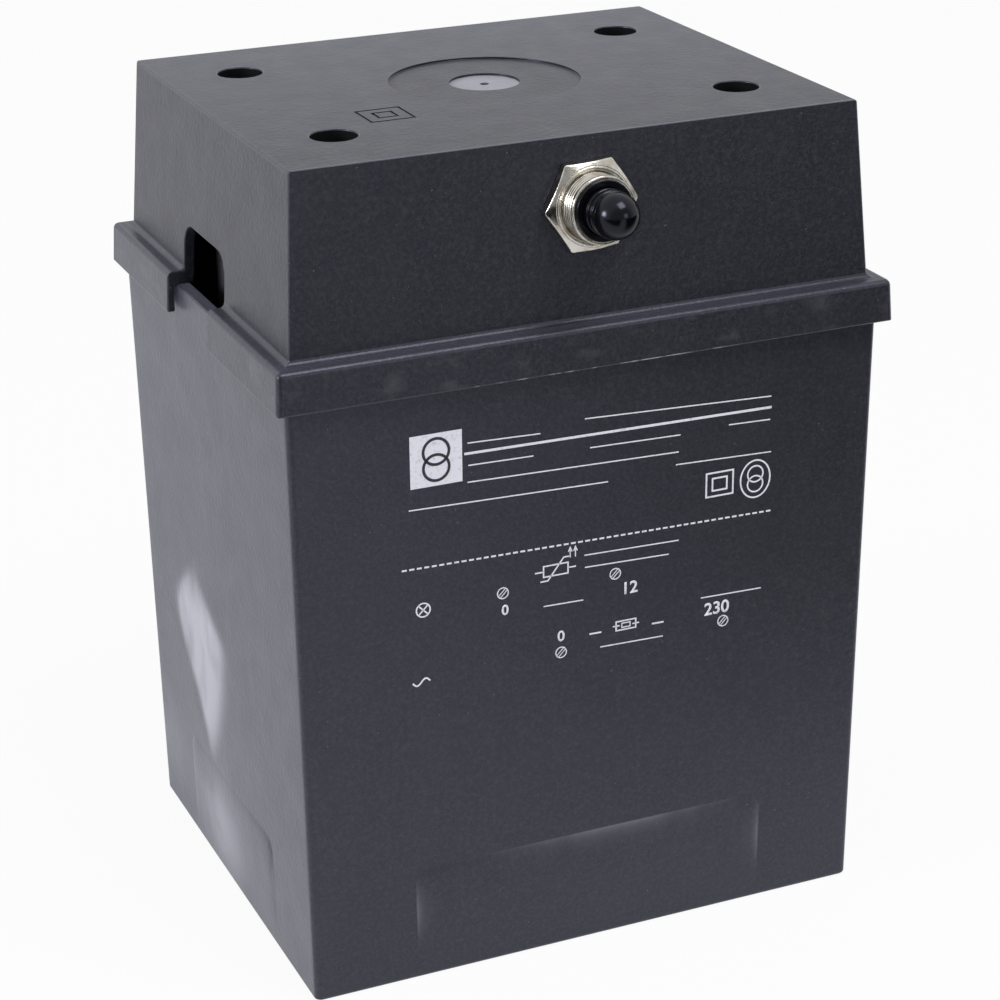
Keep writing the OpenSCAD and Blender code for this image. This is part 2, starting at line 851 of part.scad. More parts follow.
module grip_screws() {
    color("#b9bcc0")
    grip_places()
        translate([0, 0, plate_top + post_h + grip_t])
            screw(grip_screw_d, grip_screw_l, grip_head_d, grip_head_h);
}

// Breaker: its axis stands square to the leaning front wall of the cover
breaker_z = total_h - breaker_drop;
wall_tilt = atan(cover_draft / cover_rise);
wall_n = cover_wall * cos(wall_tilt);
front_y = cover_out(breaker_z).y;

// Moves a piece from the breaker's own axes, with z outwards and y up, to its place
module at_breaker() {
    translate([0, -front_y, breaker_z])
        rotate([90 - wall_tilt, 0, 0])
            children();
}

// The place of a point given in the breaker's own axes
function breaker_point(x, up, out) = [
    x,
    -front_y + up * sin(wall_tilt) - out * cos(wall_tilt),
    breaker_z + up * cos(wall_tilt) + out * sin(wall_tilt),
];

face_z = -wall_n - washer_t;
ceiling_z = face_z - breaker_wall;
flange_t = 1.2;
flange_z = ceiling_z - trip_travel - 2 * fit;
shelf_t = 1.4;
shelf_z = flange_z - flange_t - spring_l;
shelf_half_w = 5.5;
stem_d = 3.2;
stem_below = 3.9;
stem_end = shelf_z - shelf_t - stem_below;
blade_t = 0.8;
blade_z = stem_end - 4 * fit;
ear_t = 0.8;
ear_out = breaker_h / 2 - breaker_wall - 2 * room;
blade_half_w = ear_out - ear_t - room;
pin_x = 12;
pin_z = blade_z - blade_t / 2;
pin_d = 1.6;
knuckle_d = 2.8;
rivet_d = 3;
rivet_t = 1;
contact_x = tab_x;
strip_z = blade_z - blade_t - 2 * rivet_t - 2 * fit;
strip_t = 0.8;
strip_half_w = 3.2;
strip_half_l = 3.5;
back_z = face_z - breaker_l;
rear_z = back_z - back_t;
barrier_top = breaker_point(0, -breaker_h / 2, rear_z).z - barrier_gap;

module breaker_body() {
    half = [breaker_w / 2, breaker_h / 2];
    hollow = half - [1, 1] * breaker_wall;
    color("#2c2c30")
    at_breaker()
        difference() {
            block(half, back_z, face_z);
            difference() {
                block(hollow, back_z - over, ceiling_z);
                block([shelf_half_w, breaker_h], shelf_z - shelf_t, shelf_z);
            }
            rod(neck_d + 2 * fit, ceiling_z - over, face_z + over, $fn = 64);
            rod(stem_d + 2 * room, shelf_z - shelf_t - over, shelf_z + over);
        }
}

module breaker_back() {
    half = [breaker_w / 2, breaker_h / 2];
    color("#3a3a3f")
    at_breaker()
        difference() {
            union() {
                block(half, rear_z, back_z);
                for (side = [-1, 1])
                    translate([side * tab_x, 0, 0])
                        block([strip_half_l, strip_half_w], back_z, strip_z - strip_t);
            }
            for (side = [-1, 1])
                translate([side * tab_x, 0, 0])
                    block([tab_t / 2 + fit, tab_w / 2 + fit], rear_z - over, strip_z);
        }
}

module breaker_tabs() {
    color("#cfc39a")
    at_breaker()
        for (side = [-1, 1])
            translate([side * tab_x, 0, 0])
                block([tab_t / 2, tab_w / 2], rear_z - tab_out, strip_z - strip_t);
}

module fixed_contact() {
    color("#c98f5a")
    at_breaker()
        translate([contact_x, 0, 0]) {
            block([strip_half_l, strip_half_w], strip_z - strip_t, strip_z);
            rod(rivet_d, strip_z - strip_t / 2, strip_z + rivet_t);
        }
}

module blade_bracket() {
    color("#c9b27a")
    at_breaker()
        difference() {
            union() {
                translate([-pin_x, 0, 0])
                    block([knuckle_d / 2, ear_out], strip_z - strip_t, strip_z);
                translate([-tab_x, 0, 0])
                    block([strip_half_l, strip_half_w], strip_z - strip_t, strip_z);
                for (side = [-1, 1])
                    translate([-pin_x, side * (ear_out - ear_t / 2), 0])
                        block([knuckle_d / 2, ear_t / 2], strip_z - strip_t,
                              pin_z + knuckle_d / 2);
            }
            translate([-pin_x, 0, pin_z])
                rotate([90, 0, 0])
                    cylinder(d = pin_d + 2 * fit, h = breaker_h, center = true);
        }
}

module blade_pin() {
    pin_l = 2 * (ear_out + room);
    color("#9a9da0")
    at_breaker()
        translate([-pin_x, 0, pin_z])
            rotate([90, 0, 0])
                cylinder(d = pin_d, h = pin_l, center = true);
}

module trip_blade() {
    reach = pin_x + contact_x + rivet_d / 2;
    color("#b98a5e")
    at_breaker()
        difference() {
            union() {
                translate([-pin_x, -blade_half_w, blade_z - blade_t])
                    cube([reach, 2 * blade_half_w, blade_t]);
                translate([-pin_x, 0, pin_z])
                    rotate([90, 0, 0])
                        cylinder(d = knuckle_d, h = 2 * blade_half_w, center = true);
                translate([contact_x, 0, 0])
                    rod(rivet_d, blade_z - blade_t - rivet_t, blade_z - blade_t / 2);
            }
            translate([-pin_x, 0, pin_z])
                rotate([90, 0, 0])
                    cylinder(d = pin_d + 2 * fit, h = breaker_h, center = true);
        }
}

module breaker_neck() {
    color("#c9c6bb")
    at_breaker()
        difference() {
            rod(neck_d, ceiling_z, neck_out, $fn = 64);
            rod(neck_bore, ceiling_z - over, neck_out + over, $fn = 64);
        }
}

bush_d = neck_bore - 2 * fit;
bush_bore = bush_d - 2 * bush_wall;
button_d = bush_bore - 4 * fit;
bush_rim_d = (neck_d + bush_d) / 2;

module neck_bush() {
    color("#1b1b1d")
    at_breaker()
        difference() {
            union() {
                rod(bush_d, ceiling_z + fit, neck_out + bush_rim);
                rod(bush_rim_d, neck_out, neck_out + bush_rim);
            }
            rod(bush_bore, ceiling_z - over, neck_out + bush_rim + over);
        }
}

module breaker_nut() {
    corner_r = corner_d(nut_af) / 2;
    flat_r = nut_af / 2 - nut_t / 5;
    chamfer = (corner_r - flat_r) * tan(30);
    color("#d0cdc4")
    at_breaker()
        rotate([0, 0, nut_turn])
            difference() {
                intersection() {
                    cylinder(r = corner_r, h = nut_t, $fn = 6);
                    rotate_extrude($fn = 64)
                        polygon([[0, 0], [corner_r, 0], [corner_r, nut_t - chamfer],
                                 [flat_r, nut_t], [0, nut_t]]);
                }
                rod(neck_d + 2 * fit, -over, nut_t + over, $fn = 64);
            }
}

module lock_washer() {
    color("#b9bcc0")
    at_breaker()
        difference() {
            rod(nut_af, -wall_n - washer_t, -wall_n);
            rod(neck_d + 2 * fit, -wall_n - washer_t - over, -wall_n + over);
        }
}

// The button: a domed plunger with two fine grooves, a stop flange and a stem to the blade
groove_w = 0.5;
groove_t = 0.25;
module reset_button() {
    dome_z = button_out - button_d / 2;
    first_groove = neck_out + bush_rim + 2 * groove_w;
    color("#161617")
    at_breaker()
        difference() {
            union() {
                rod(button_d, flange_z, dome_z);
                translate([0, 0, dome_z])
                    sphere(d = button_d);
                rod(bush_rim_d, flange_z - flange_t, flange_z);
                rod(stem_d, stem_end, flange_z);
            }
            for (z = [first_groove, first_groove + 3 * groove_w])
                difference() {
                    rod(button_d + over, z, z + groove_w);
                    rod(button_d - 2 * groove_t, z - over, z + groove_w + over);
                }
        }
}

// The spring: one unbroken helix between the shelf and the button's flange
steps_per_turn = 16;
module reset_spring() {
    low = shelf_z + spring_wire / 2 + fit;
    high = flange_z - flange_t - spring_wire / 2 - fit;
    count = spring_turns * steps_per_turn;
    path = [
        for (i = [0:count])
            let (a = 360 * i / steps_per_turn)
                [spring_d / 2 * cos(a), spring_d / 2 * sin(a), low + (high - low) * i / count]
    ];
    gap = (high - low) / spring_turns - spring_wire;
    echo("least gap between the spring's turns, mm", gap);
    color("#a9adb1")
    at_breaker()
        tube(path, spring_wire, 6);
}

// Push-on terminals on the tabs, with a barrel for each lead
push_on_wall = 1;
push_on_l = tab_out + 1;
barrel_l = 5;
barrel_wall = 0.6;
barrel_rear = rear_z - 2 * room - push_on_l - barrel_l;

module push_on_terminals() {
    shell = [tab_t / 2 + fit + push_on_wall, tab_w / 2 + fit + push_on_wall / 2];
    front = rear_z - 2 * room;
    color("#cfc39a")
    at_breaker()
        for (side = [-1, 1])
            translate([side * tab_x, 0, 0])
                difference() {
                    union() {
                        block(shell, front - push_on_l, front);
                        rod(lead_d + 2 * barrel_wall, barrel_rear, front - push_on_l);
                    }
                    block([tab_t / 2 + fit, tab_w / 2 + fit], rear_z - tab_out - fit,
                          front + over);
                    rod(lead_d + 2 * fit, barrel_rear - over, front - push_on_l);
                }
}

// Leads. Each ends on its bar or in its barrel, and bends on no less than about its diameter
module sec_lead() {
    color("#20221f")
    tube([[-lead_x, -terminal_y, coil_top + fit], [-lead_x, -terminal_y, bar_z - fit]], lead_d);
}

module pri_lead() {
    run_z = plate_top + thin_lead_d;
    bend = 2 * thin_lead_d;
    color("#2f5fae")
    tube(curve([
        [lead_x, pri_lead_y, coil_top + fit],
        [lead_x, pri_lead_y, plate_top - plate_t],
        [lead_x, pri_lead_y - bend / 2, run_z],
        [lead_x, 0, run_z],
        [lead_x, bend / 2 - terminal_y, run_z + bend / 4],
        [lead_x, -terminal_y, bar_z - bend / 2],
        [lead_x, -terminal_y, bar_z - 2 * fit],
    ]), thin_lead_d);
}

module fuse_lead() {
    run_z = bar_z - thin_lead_d - room;
    bend = 2 * thin_lead_d;
    color("#8a4a25")
    tube(curve([
        [fuse_x, fuse_y, fuse_top + fit],
        [fuse_x, fuse_y, plate_top],
        [fuse_x - bend / 4, fuse_y - bend / 4, run_z - bend / 2],
        [(fuse_x + lead_x) / 2, fuse_y - bend / 2, run_z],
        [lead_x, pri_lead_y + bend / 4, run_z],
        [lead_x, terminal_y + bend, run_z],
        [lead_x, terminal_y + bend / 8, run_z + bend / 8],
        [lead_x, terminal_y, bar_z - 2 * fit],
    ]), thin_lead_d);
}

// The breaker's leads leave their barrels backwards and turn down behind the breaker
barrel_in = barrel_rear + barrel_l / 2;

module breaker_lead_in() {
    tail = breaker_point(-tab_x, 0, barrel_rear);
    centre = tail + [0, lead_bend, -lead_bend];
    turn = [for (a = [-45:45:90]) centre + lead_bend * [0, cos(a), sin(a)]];
    color("#b3271e")
    tube(curve(concat(
        [[-lead_x, -lead_y, coil_top + fit],
         [-lead_x, -lead_y, plate_top],
         [-lead_x, -lead_y, bar_z + bar_t],
         [-lead_x, tail.y - lead_bend / 4, block_top + lead_d / 2]],
        turn,
        [tail, breaker_point(-tab_x, 0, barrel_in)])), lead_d);
}

module breaker_lead_out() {
    tail = breaker_point(tab_x, 0, barrel_rear);
    land = [-lead_x, terminal_y + lead_d / 3, bar_z + bar_t + 2 * fit];
    r = lead_bend;
    color("#b3271e")
    tube(curve([
        breaker_point(tab_x, 0, barrel_in),
        tail,
        [tab_x - r / 4, tail.y + r, tail.z],
        [tab_x / 2, tail.y + 2 * r, tail.z - r / 4],
        [0, land.y, tail.z - r / 2],
        [-lead_x / 2 - r / 4, land.y + r / 4, tail.z - r],
        [-lead_x, land.y + r / 4, tail.z - 2 * r],
        [-lead_x, land.y, (tail.z - r + land.z) / 2],
        land,
    ]), lead_d);
}

// Cover: a leaning hood on a ledge, with a skirt over the tub's rim and four deep screw wells
well_hole_d = cover_screw_d + 2 * room;
cover_head_h = 2.8;

module slot_cut() {
    low = tub_h - skirt_drop - over;
    high = tub_h + slot_rise;
    reach = 2 * (skirt_half.x + over);
    rotate([90, 0, 90])
        linear_extrude(reach, center = true)
            translate([slot_shift, 0]) {
                translate([-slot_w / 2, low])
                    square([slot_w, high - slot_r - low]);
                translate([slot_r - slot_w / 2, low])
                    square([slot_w - 2 * slot_r, high - low]);
                for (side = [-1, 1])
                    translate([side * (slot_w / 2 - slot_r), high - slot_r])
                        circle(slot_r);
            }
}

module square_ring(size) {
    difference() {
        square(size, center = true);
        square(size - 2 * mark_line, center = true);
    }
}

module top_marks() {
    rod(ring_d, total_h - ring_depth, total_h + over, $fn = 96);
    rod(disc_d, total_h - disc_depth, total_h + over);
    rod(dot_d, total_h - disc_depth - ring_depth, total_h + over);
    translate([-mark_x, -mark_y, total_h - mark_depth])
        linear_extrude(mark_depth + over) {
            square_ring(mark_size);
            square_ring(mark_inner);
        }
}

module cover() {
    foot = tub_h - skirt_drop;
    ceiling = total_h - cover_top_t;
    skirt_high = skirt_half - [1, 1] * skirt_lean;
    color("#35353a")
    difference() {
        union() {
            difference() {
                union() {
                    leaning_block(cover_out(tub_h), cover_out(total_h), tub_h, total_h);
                    block(ledge_half, tub_h, tub_h + ledge_h);
                    leaning_block(skirt_half, skirt_high, foot, tub_h + skirt_rise);
                }
                leaning_block(cover_in(tub_h - over), cover_in(ceiling), tub_h - over,
                              ceiling);
                block(ledge_half, foot - over, tub_h);
                slot_cut();
            }
            screw_places()
                rod(well_d + 2 * well_wall, tub_h, ceiling + fit);
        }
        screw_places() {
            rod(well_d, tub_h + well_floor, total_h + over);
            rod(well_hole_d, tub_h - over, tub_h + well_floor + over);
        }
        at_breaker()
            rod(neck_d + 2 * room, face_z, nut_t, $fn = 64);
        top_marks();
    }
}

module cover_screws() {
    color("#c2c5c8")
    screw_places()
        translate([0, 0, tub_h + well_floor])
            screw(cover_screw_d, cover_screw_l, well_d - 2 * room, cover_head_h);
}

case_tub();
resin_fill();
core_e_sheets();
core_i_sheets();
core_bolts();
core_washers();
core_nuts();
bobbin();
primary_winding();
secondary_winding();
primary_tape();
secondary_tape();
thermal_fuse();
fuse_tail();
terminal_plate();
pillar_inserts();
barrier_card();
sec_terminal_block();
pri_terminal_block();
block_screws();
sec_contact_bars();
pri_contact_bars();
sec_screw_1();
sec_screw_2();
pri_screw_1();
pri_screw_2();
sec_cage_1();
sec_cage_2();
pri_cage_1();
pri_cage_2();
sec_grip_bar();
pri_grip_bar();
grip_screws();
sec_lead();
pri_lead();
fuse_lead();
breaker_lead_in();
breaker_lead_out();
cover();
cover_screws();
breaker_body();
breaker_back();
breaker_neck();
neck_bush();
breaker_nut();
lock_washer();
reset_button();
reset_spring();
trip_blade();
blade_pin();
blade_bracket();
fixed_contact();
breaker_tabs();
push_on_terminals();
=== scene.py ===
import bmesh
import bpy
import numpy as np
from mathutils import Matrix


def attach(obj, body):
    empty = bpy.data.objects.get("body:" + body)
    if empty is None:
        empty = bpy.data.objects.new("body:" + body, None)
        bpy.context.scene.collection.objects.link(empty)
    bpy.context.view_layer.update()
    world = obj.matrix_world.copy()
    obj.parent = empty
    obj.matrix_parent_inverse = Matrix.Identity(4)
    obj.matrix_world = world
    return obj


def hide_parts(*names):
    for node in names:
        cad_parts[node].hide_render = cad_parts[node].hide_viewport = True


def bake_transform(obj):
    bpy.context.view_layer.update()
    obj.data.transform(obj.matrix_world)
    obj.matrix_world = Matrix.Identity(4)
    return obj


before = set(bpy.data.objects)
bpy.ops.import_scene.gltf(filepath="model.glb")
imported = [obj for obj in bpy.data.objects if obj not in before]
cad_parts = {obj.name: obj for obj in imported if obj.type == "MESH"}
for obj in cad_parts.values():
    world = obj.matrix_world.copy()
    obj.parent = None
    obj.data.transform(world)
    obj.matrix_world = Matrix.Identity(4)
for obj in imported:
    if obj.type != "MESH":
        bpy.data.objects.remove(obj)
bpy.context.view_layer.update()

# Camera: a long lens, in front and to the left, that looks down on the case from where the
# photograph was taken. Its place was solved from the case's own edges.
MM = 0.001
TURN, RISE, ROLL = np.radians([-23.236, 22.483, -0.789])
AIM, DISTANCE = np.array([-0.111, -4.604, 71.435]), 503.45
SENSOR, LENS = 36, 98.09


def unit(ways):
    """Ways brought to a length of 1."""
    return ways / np.linalg.norm(ways, axis=-1, keepdims=True)


def placed(name, data):
    """A new object in the scene, from its mesh, camera or lamp."""
    thing = bpy.data.objects.new(name, data)
    bpy.context.scene.collection.objects.link(thing)
    return thing


def stand(thing, side, over, away, place):
    """Puts a camera or a lamp at a place in metres. It looks against away, and side and over are
    its own right and up."""
    pose = np.eye(4)
    pose[:3] = np.column_stack([side, over, away, place])
    thing.matrix_world = Matrix(pose.tolist())


back = np.array([np.sin(TURN) * np.cos(RISE), -np.cos(TURN) * np.cos(RISE), np.sin(RISE)])
right = unit(np.cross(-back, [0, 0, 1]))
up = np.cross(right, -back)
camera = placed("camera", bpy.data.cameras.new("camera"))
camera.data.sensor_width, camera.data.lens = SENSOR, LENS
camera.data.clip_start, camera.data.clip_end = 0.02, 20
stand(camera, right * np.cos(ROLL) + up * np.sin(ROLL), up * np.cos(ROLL) - right * np.sin(ROLL),
      back, (AIM + back * DISTANCE) * MM)
bpy.context.scene.camera = camera
bpy.context.scene.view_settings.view_transform = "Standard"


# Paper: one sheet of white paper that the case stands on. It runs back and turns up into a wall
# on a wide quarter circle. A little in front, what the case mirrors of it is painted dark: a painted
# dark reflection of a room, which the camera does not see.
def surface(name, points, closed_u=False, closed_v=False):
    """An object from a grid of points in millimetres, rows along u and columns along v. The cell
    (i, j) is the quad on rows i and i + 1 and columns j and j + 1. A closed direction joins its
    last line to its first."""
    rows, columns = points.shape[:2]
    i, j = np.meshgrid(np.arange(rows if closed_u else rows - 1),
                       np.arange(columns if closed_v else columns - 1), indexing="ij")
    next_i, next_j = (i + 1) % rows, (j + 1) % columns
    quads = np.stack([i * columns + j, next_i * columns + j,
                      next_i * columns + next_j, i * columns + next_j], -1).reshape(-1, 4)
    mesh = bpy.data.meshes.new(name)
    mesh.vertices.add(rows * columns)
    mesh.vertices.foreach_set("co", (points * MM).astype(np.float32).ravel())
    mesh.loops.add(quads.size)
    mesh.loops.foreach_set("vertex_index", quads.astype(np.int32).ravel())
    mesh.polygons.add(len(quads))
    mesh.polygons.foreach_set("loop_start", np.arange(0, quads.size, 4, dtype=np.int32))
    mesh.polygons.foreach_set("use_smooth", np.ones(len(quads), bool))
    mesh.update(calc_edges=True)
    return placed(name, mesh)


def joined(tree, kind, first, *others):
    """Values put together in turn by one kind of arithmetic. Each may be a plain number."""
    for other in others:
        step = tree.nodes.new("ShaderNodeMath")
        step.operation = kind
        for socket, value in zip(step.inputs, (first, other)):
            if isinstance(value, (int, float)):
                socket.default_value = value
            else:
                tree.links.new(value, socket)
        first = step.outputs["Value"]
    return first


def ramp(tree, value, start, end, low=0.0, high=1.0, kind="LINEAR"):
    """A value carried from low at start to high at end, and held level beyond both."""
    step = tree.nodes.new("ShaderNodeMapRange")
    step.interpolation_type = kind
    for socket, number in (("From Min", start), ("From Max", end), ("To Min", low), ("To Max", high)):
        step.inputs[socket].default_value = number
    tree.links.new(value, step.inputs["Value"])
    return step.outputs["Result"]


def fade(tree, value, start, end):
    """A value's way from 0 at start to 1 at end, slow near both: 3 t^2 - 2 t^3."""
    return ramp(tree, value, start, end, kind="SMOOTHSTEP")


def axes(tree):
    """The X, Y and Z of a place on an object, in its own metres, or of a ray's way in the room."""
    where, split = tree.nodes.new("ShaderNodeTexCoord"), tree.nodes.new("ShaderNodeSeparateXYZ")
    tree.links.new(where.outputs["Object"], split.inputs["Vector"])
    return split.outputs


REACH, BACK, BEND, TALL = 3000.0, 900.0, 600.0, 2500.0
PAPER_COLOUR, PAPER_SEEN = (0.8, 0.8, 0.8, 1), 0.93
SLANT, RIGHT_DARK_MIRROR, FRONT_DARK_MIRROR = 0.35, (-0.06, 0.05), (-0.06, -0.20)
LEFT_DARK_MIRROR, NEAR_DARK_MIRROR = (0.0, -0.08), (-0.22, -0.30)
arc = np.linspace(0, np.pi / 2, 24)
run = np.concatenate([[-REACH], BACK + BEND * np.sin(arc), [BACK + BEND]])
height = np.concatenate([[0], BEND * (1 - np.cos(arc)), [TALL]])
across = np.linspace(-REACH, REACH, 7)
floor = surface("floor", np.stack(np.broadcast_arrays(
    across[:, None], run[None, :], height[None, :]), -1))

# The paper's colour throws light on the case and keeps its shadow, with a share of plain white
# over it for the camera. A glossy surface finds it plain white too, except where it is painted dark
# for glossy and transmission rays alone, a painted dark reflection: beyond a slanting line on the
# right, x + SLANT y, and nearer the camera on the left.
paper = bpy.data.materials.new("floor_white")
paper.use_nodes = True
tree = paper.node_tree
tree.nodes.remove(tree.nodes["Principled BSDF"])
matt, white, path, mix = (tree.nodes.new(f"ShaderNode{kind}") for kind in
                          ("BsdfDiffuse", "Emission", "LightPath", "MixShader"))
camera_ray = path.outputs["Is Camera Ray"]
matt.inputs["Color"].default_value = PAPER_COLOUR
x, y, _ = axes(tree)
slant = joined(tree, "ADD", x, joined(tree, "MULTIPLY", y, SLANT))
# Painted dark reflection: how far glossy rays find the paper dark, on the right and near the camera.
dark_right = joined(tree, "MULTIPLY", fade(tree, slant, *RIGHT_DARK_MIRROR), fade(tree, y, *FRONT_DARK_MIRROR))
dark_left = joined(tree, "MULTIPLY", fade(tree, x, *LEFT_DARK_MIRROR), fade(tree, y, *NEAR_DARK_MIRROR))
bright = joined(tree, "SUBTRACT", 1.0, joined(tree, "MAXIMUM", dark_right, dark_left))
share = joined(tree, "MAXIMUM", joined(tree, "MULTIPLY", camera_ray, PAPER_SEEN),
               path.outputs["Is Glossy Ray"], path.outputs["Is Transmission Ray"])
tree.links.new(joined(tree, "MAXIMUM", bright, camera_ray), white.inputs["Strength"])
tree.links.new(share, mix.inputs["Fac"])
tree.links.new(matt.outputs[0], mix.inputs[1])
tree.links.new(white.outputs[0], mix.inputs[2])
tree.links.new(mix.outputs[0], tree.nodes["Material Output"].inputs["Surface"])
floor.data.materials.append(paper)

# Room: white for the camera, and in what the case mirrors except in front, where the camera
# stands. The light that it throws on the case is dimmer, and three square lamps do the rest.
ROOM_LIGHT, ROOM_FRONT = 0.42, (-0.75, -0.35)
world = bpy.data.worlds.new("studio")
bpy.context.scene.world = world
world.use_nodes = True
tree = world.node_tree
path = tree.nodes.new("ShaderNodeLightPath")
mirrored = joined(tree, "MULTIPLY", path.outputs["Is Glossy Ray"],
                  fade(tree, axes(tree)["Y"], *ROOM_FRONT))
white = joined(tree, "MAXIMUM", mirrored, path.outputs["Is Camera Ray"],
               path.outputs["Is Transmission Ray"])
tree.nodes["Background"].inputs["Color"].default_value = (1, 1, 1, 1)
tree.links.new(ramp(tree, white, 0, 1, ROOM_LIGHT, 1.0), tree.nodes["Background"].inputs["Strength"])


def softbox(name, place, aim, size, power):
    """A square lamp of that size in metres, turned so that it faces the point aim."""
    lamp = placed(name, bpy.data.lights.new(name, "AREA"))
    lamp.data.size, lamp.data.energy = size, power
    away = unit(np.subtract(place, aim))
    side = unit(np.cross([0, 0, 1], away))
    stand(lamp, side, np.cross(away, side), away, place)


softbox("key_left", (-1.4, -0.1, 0.55), (0, 0, 0.08), 0.4, 12)
softbox("top_front", (0.25, -0.60, 1.25), (0, 0, 0.10), 0.6, 8)
softbox("low_front", (0.58, -1.43, 0.46), (0, 0, 0.03), 0.45, 1.5)


# Tub: one deep moulding in black glass-filled plastic. Its walls lean out so that it leaves the
# mould, its corners are barely rounded, and a faint pad stands out low on each wall.
RIM_Z, LEAN, WALL, BOTTOM = 116.0, 1.1, 2.5, 2.5
TUB_HALF = np.array([53.3, 43.8])
CORNER_R, INNER_R, FOOT_R, LIP_R = 1.1, 0.8, 0.7, 0.4
PAD_HALF = np.array([34.0, 23.5])
PAD_TOP, PAD_LOW, PAD_RISE, PAD_EASE, PAD_R = 22.0, 6.0, 0.42, 1.15, 3.0


def outline(share_x, share_y, steps):
    """Places round a rounded rectangle, from the front wall's left end and against the clock:
    the shares along X and Y at which the corner circle's middle stands, and the angle that the
    wall faces. Walls hold the angle and run the share from -1 to 1; corners do the reverse. The
    second half of the places is the first, half a turn on."""
    quarter = np.linspace(0, np.pi / 2, steps)
    one_x, one_y, one_q = (np.ones_like(a) for a in (share_x, share_y, quarter))
    x = np.concatenate([share_x, one_q, one_y, one_q])
    y = np.concatenate([-one_x, -one_q, share_y, one_q])
    face = np.concatenate([0 * share_x - np.pi / 2, quarter - np.pi / 2, 0 * share_y, quarter])
    return np.hstack([x, -x]), np.hstack([y, -y]), np.hstack([face, face + np.pi])


def shell(shape, half_x, half_y, radius, z, grow):
    """Points of a rounded box: at each level, the corner circles' middles stand radius inside
    the half sizes, and the wall stands radius out from them along the way it faces. grow draws
    a level in towards the middle, for a bottom."""
    x, y, face = (a[:, None] for a in shape)
    return np.stack(np.broadcast_arrays(
        grow * (x * (half_x - radius) + radius * np.cos(face)),
        grow * (y * (half_y - radius) + radius * np.sin(face)), z), -1)


def close(thing):
    """Joins the points that lie on each other and turns every face outwards."""
    loose = bmesh.new()
    loose.from_mesh(thing.data)
    bmesh.ops.remove_doubles(loose, verts=loose.verts, dist=1e-7)
    bmesh.ops.dissolve_degenerate(loose, edges=loose.edges, dist=1e-8)
    bmesh.ops.recalc_face_normals(loose, faces=loose.faces)
    loose.to_mesh(thing.data)
    loose.free()
    return thing


def crowd(low, high, marks, spread, steps):
    """Steps from low to high, with more of them on either side of each mark."""
    near = np.linspace(-spread, spread, 17)
    every = np.concatenate([np.linspace(low, high, steps)] + [m + near for m in marks])
    return np.unique(np.round(np.clip(every, low, high), 4))


def way_into_pad(along, z, half):
    """The way in from the pad's edge: the least of the ways to its sides and top, or to a circle
    near its upper corners."""
    in_x, in_z = half - np.abs(along), PAD_TOP - z
    cut_x, cut_z = PAD_R - in_x, PAD_R - in_z
    return np.where((cut_x > 0) & (cut_z > 0),
                    PAD_R - np.hypot(cut_x, cut_z), np.minimum(in_x, in_z))


def pad(along, z, half):
    """How far a wall stands out for its pad: PAD_RISE (1 - exp(-way in / PAD_EASE)), so that it
    rises from a sharp edge ever more slowly, and it sinks into the wall towards the floor."""
    rise = 1 - np.exp(-np.clip(way_into_pad(along, z, half), 0, None) / PAD_EASE)
    return PAD_RISE * rise * np.clip((z - PAD_LOW + 3) / 12, 0, 1)


side_x, side_y = PAD_HALF / (TUB_HALF - CORNER_R)
shape = outline(crowd(-0.985, 0.985, (-side_x, side_x), 0.035, 15),
                crowd(-0.98, 0.98, (-side_y, side_y), 0.04, 64), 7)
wall_z = crowd(0.9, RIM_Z - 0.5, (PAD_TOP - 1.2,), 1.6, 90)[::-1]
swing = np.linspace(0, np.pi / 2, 6)
z = np.concatenate([[BOTTOM] * 3, np.linspace(BOTTOM + 1, RIM_Z - LIP_R, 6),
                    RIM_Z - LIP_R + LIP_R * np.sin(swing), RIM_Z - LIP_R + LIP_R * np.cos(swing),
                    wall_z, FOOT_R - FOOT_R * np.sin(swing), [0, 0]])
inset = np.concatenate([[WALL + 1, WALL + 1, WALL + 0.3], [WALL] * 6,
                        WALL - LIP_R + LIP_R * np.cos(swing), LIP_R - LIP_R * np.sin(swing),
                        0 * wall_z, FOOT_R - FOOT_R * np.cos(swing), [FOOT_R + 1] * 2])
grow = np.ones_like(z)
grow[[0, -1]] = 0
half_x, half_y = (half + LEAN * z / RIM_Z - inset for half in TUB_HALF)
points = shell(shape, half_x, half_y, np.where(inset > WALL - 1, INNER_R, CORNER_R), z, grow)
outer = (z > FOOT_R + 0.15) & (inset == 0)
for axis, faces in ((1, np.sin(shape[2])), (0, np.cos(shape[2]))):
    flat = (np.abs(faces) > 0.999)[:, None] & outer
    rise = pad(points[..., 1 - axis], points[..., 2], PAD_HALF[1 - axis])
    points[..., axis] += np.where(flat, np.sign(points[..., axis]) * rise, 0)
tub = close(surface("tub_shell", points, closed_u=True))

# Marks of use, with painted light. Rubbing has polished the left wall in a patch that is broad
# above and drawn to a point below, with a haze under it, and its gloss is painted in pale: a
# painted sheen. The pads' edges show wear where a hand slides, and are painted pale: partly
# wear, partly a painted highlight.
BROADEST = 49.0


def spots(items, what="co"):
    """Where the points of a mesh are, or the centres of its faces, in millimetres."""
    kept = np.empty(len(items) * 3, np.float32)
    items.foreach_get(what, kept)
    return kept.reshape(-1, 3) / MM


def mark(name, amount):
    """Keeps an amount from 0 to 1 at each point of the tub, for its finish to read."""
    kept = tub.data.attributes.new(name, "FLOAT", "POINT")
    kept.data.foreach_set("value", np.clip(amount, 0, 1).astype(np.float32))


def swell(below, above):
    """1 at the patch's broadest height and less away from it: exp(-(height / reach)^2), with
    one reach below that height and another above it."""
    return np.exp(-((z - BROADEST) / np.where(z < BROADEST, below, above)) ** 2)


def cloud(middle_y, middle_z, reach_y, reach_z):
    """A cloud on the left wall: exp(-(way in Y / its reach)^2 - (way in Z / its reach)^2)."""
    return np.exp(-((y - middle_y) / reach_y) ** 2 - ((z - middle_z) / reach_z) ** 2)


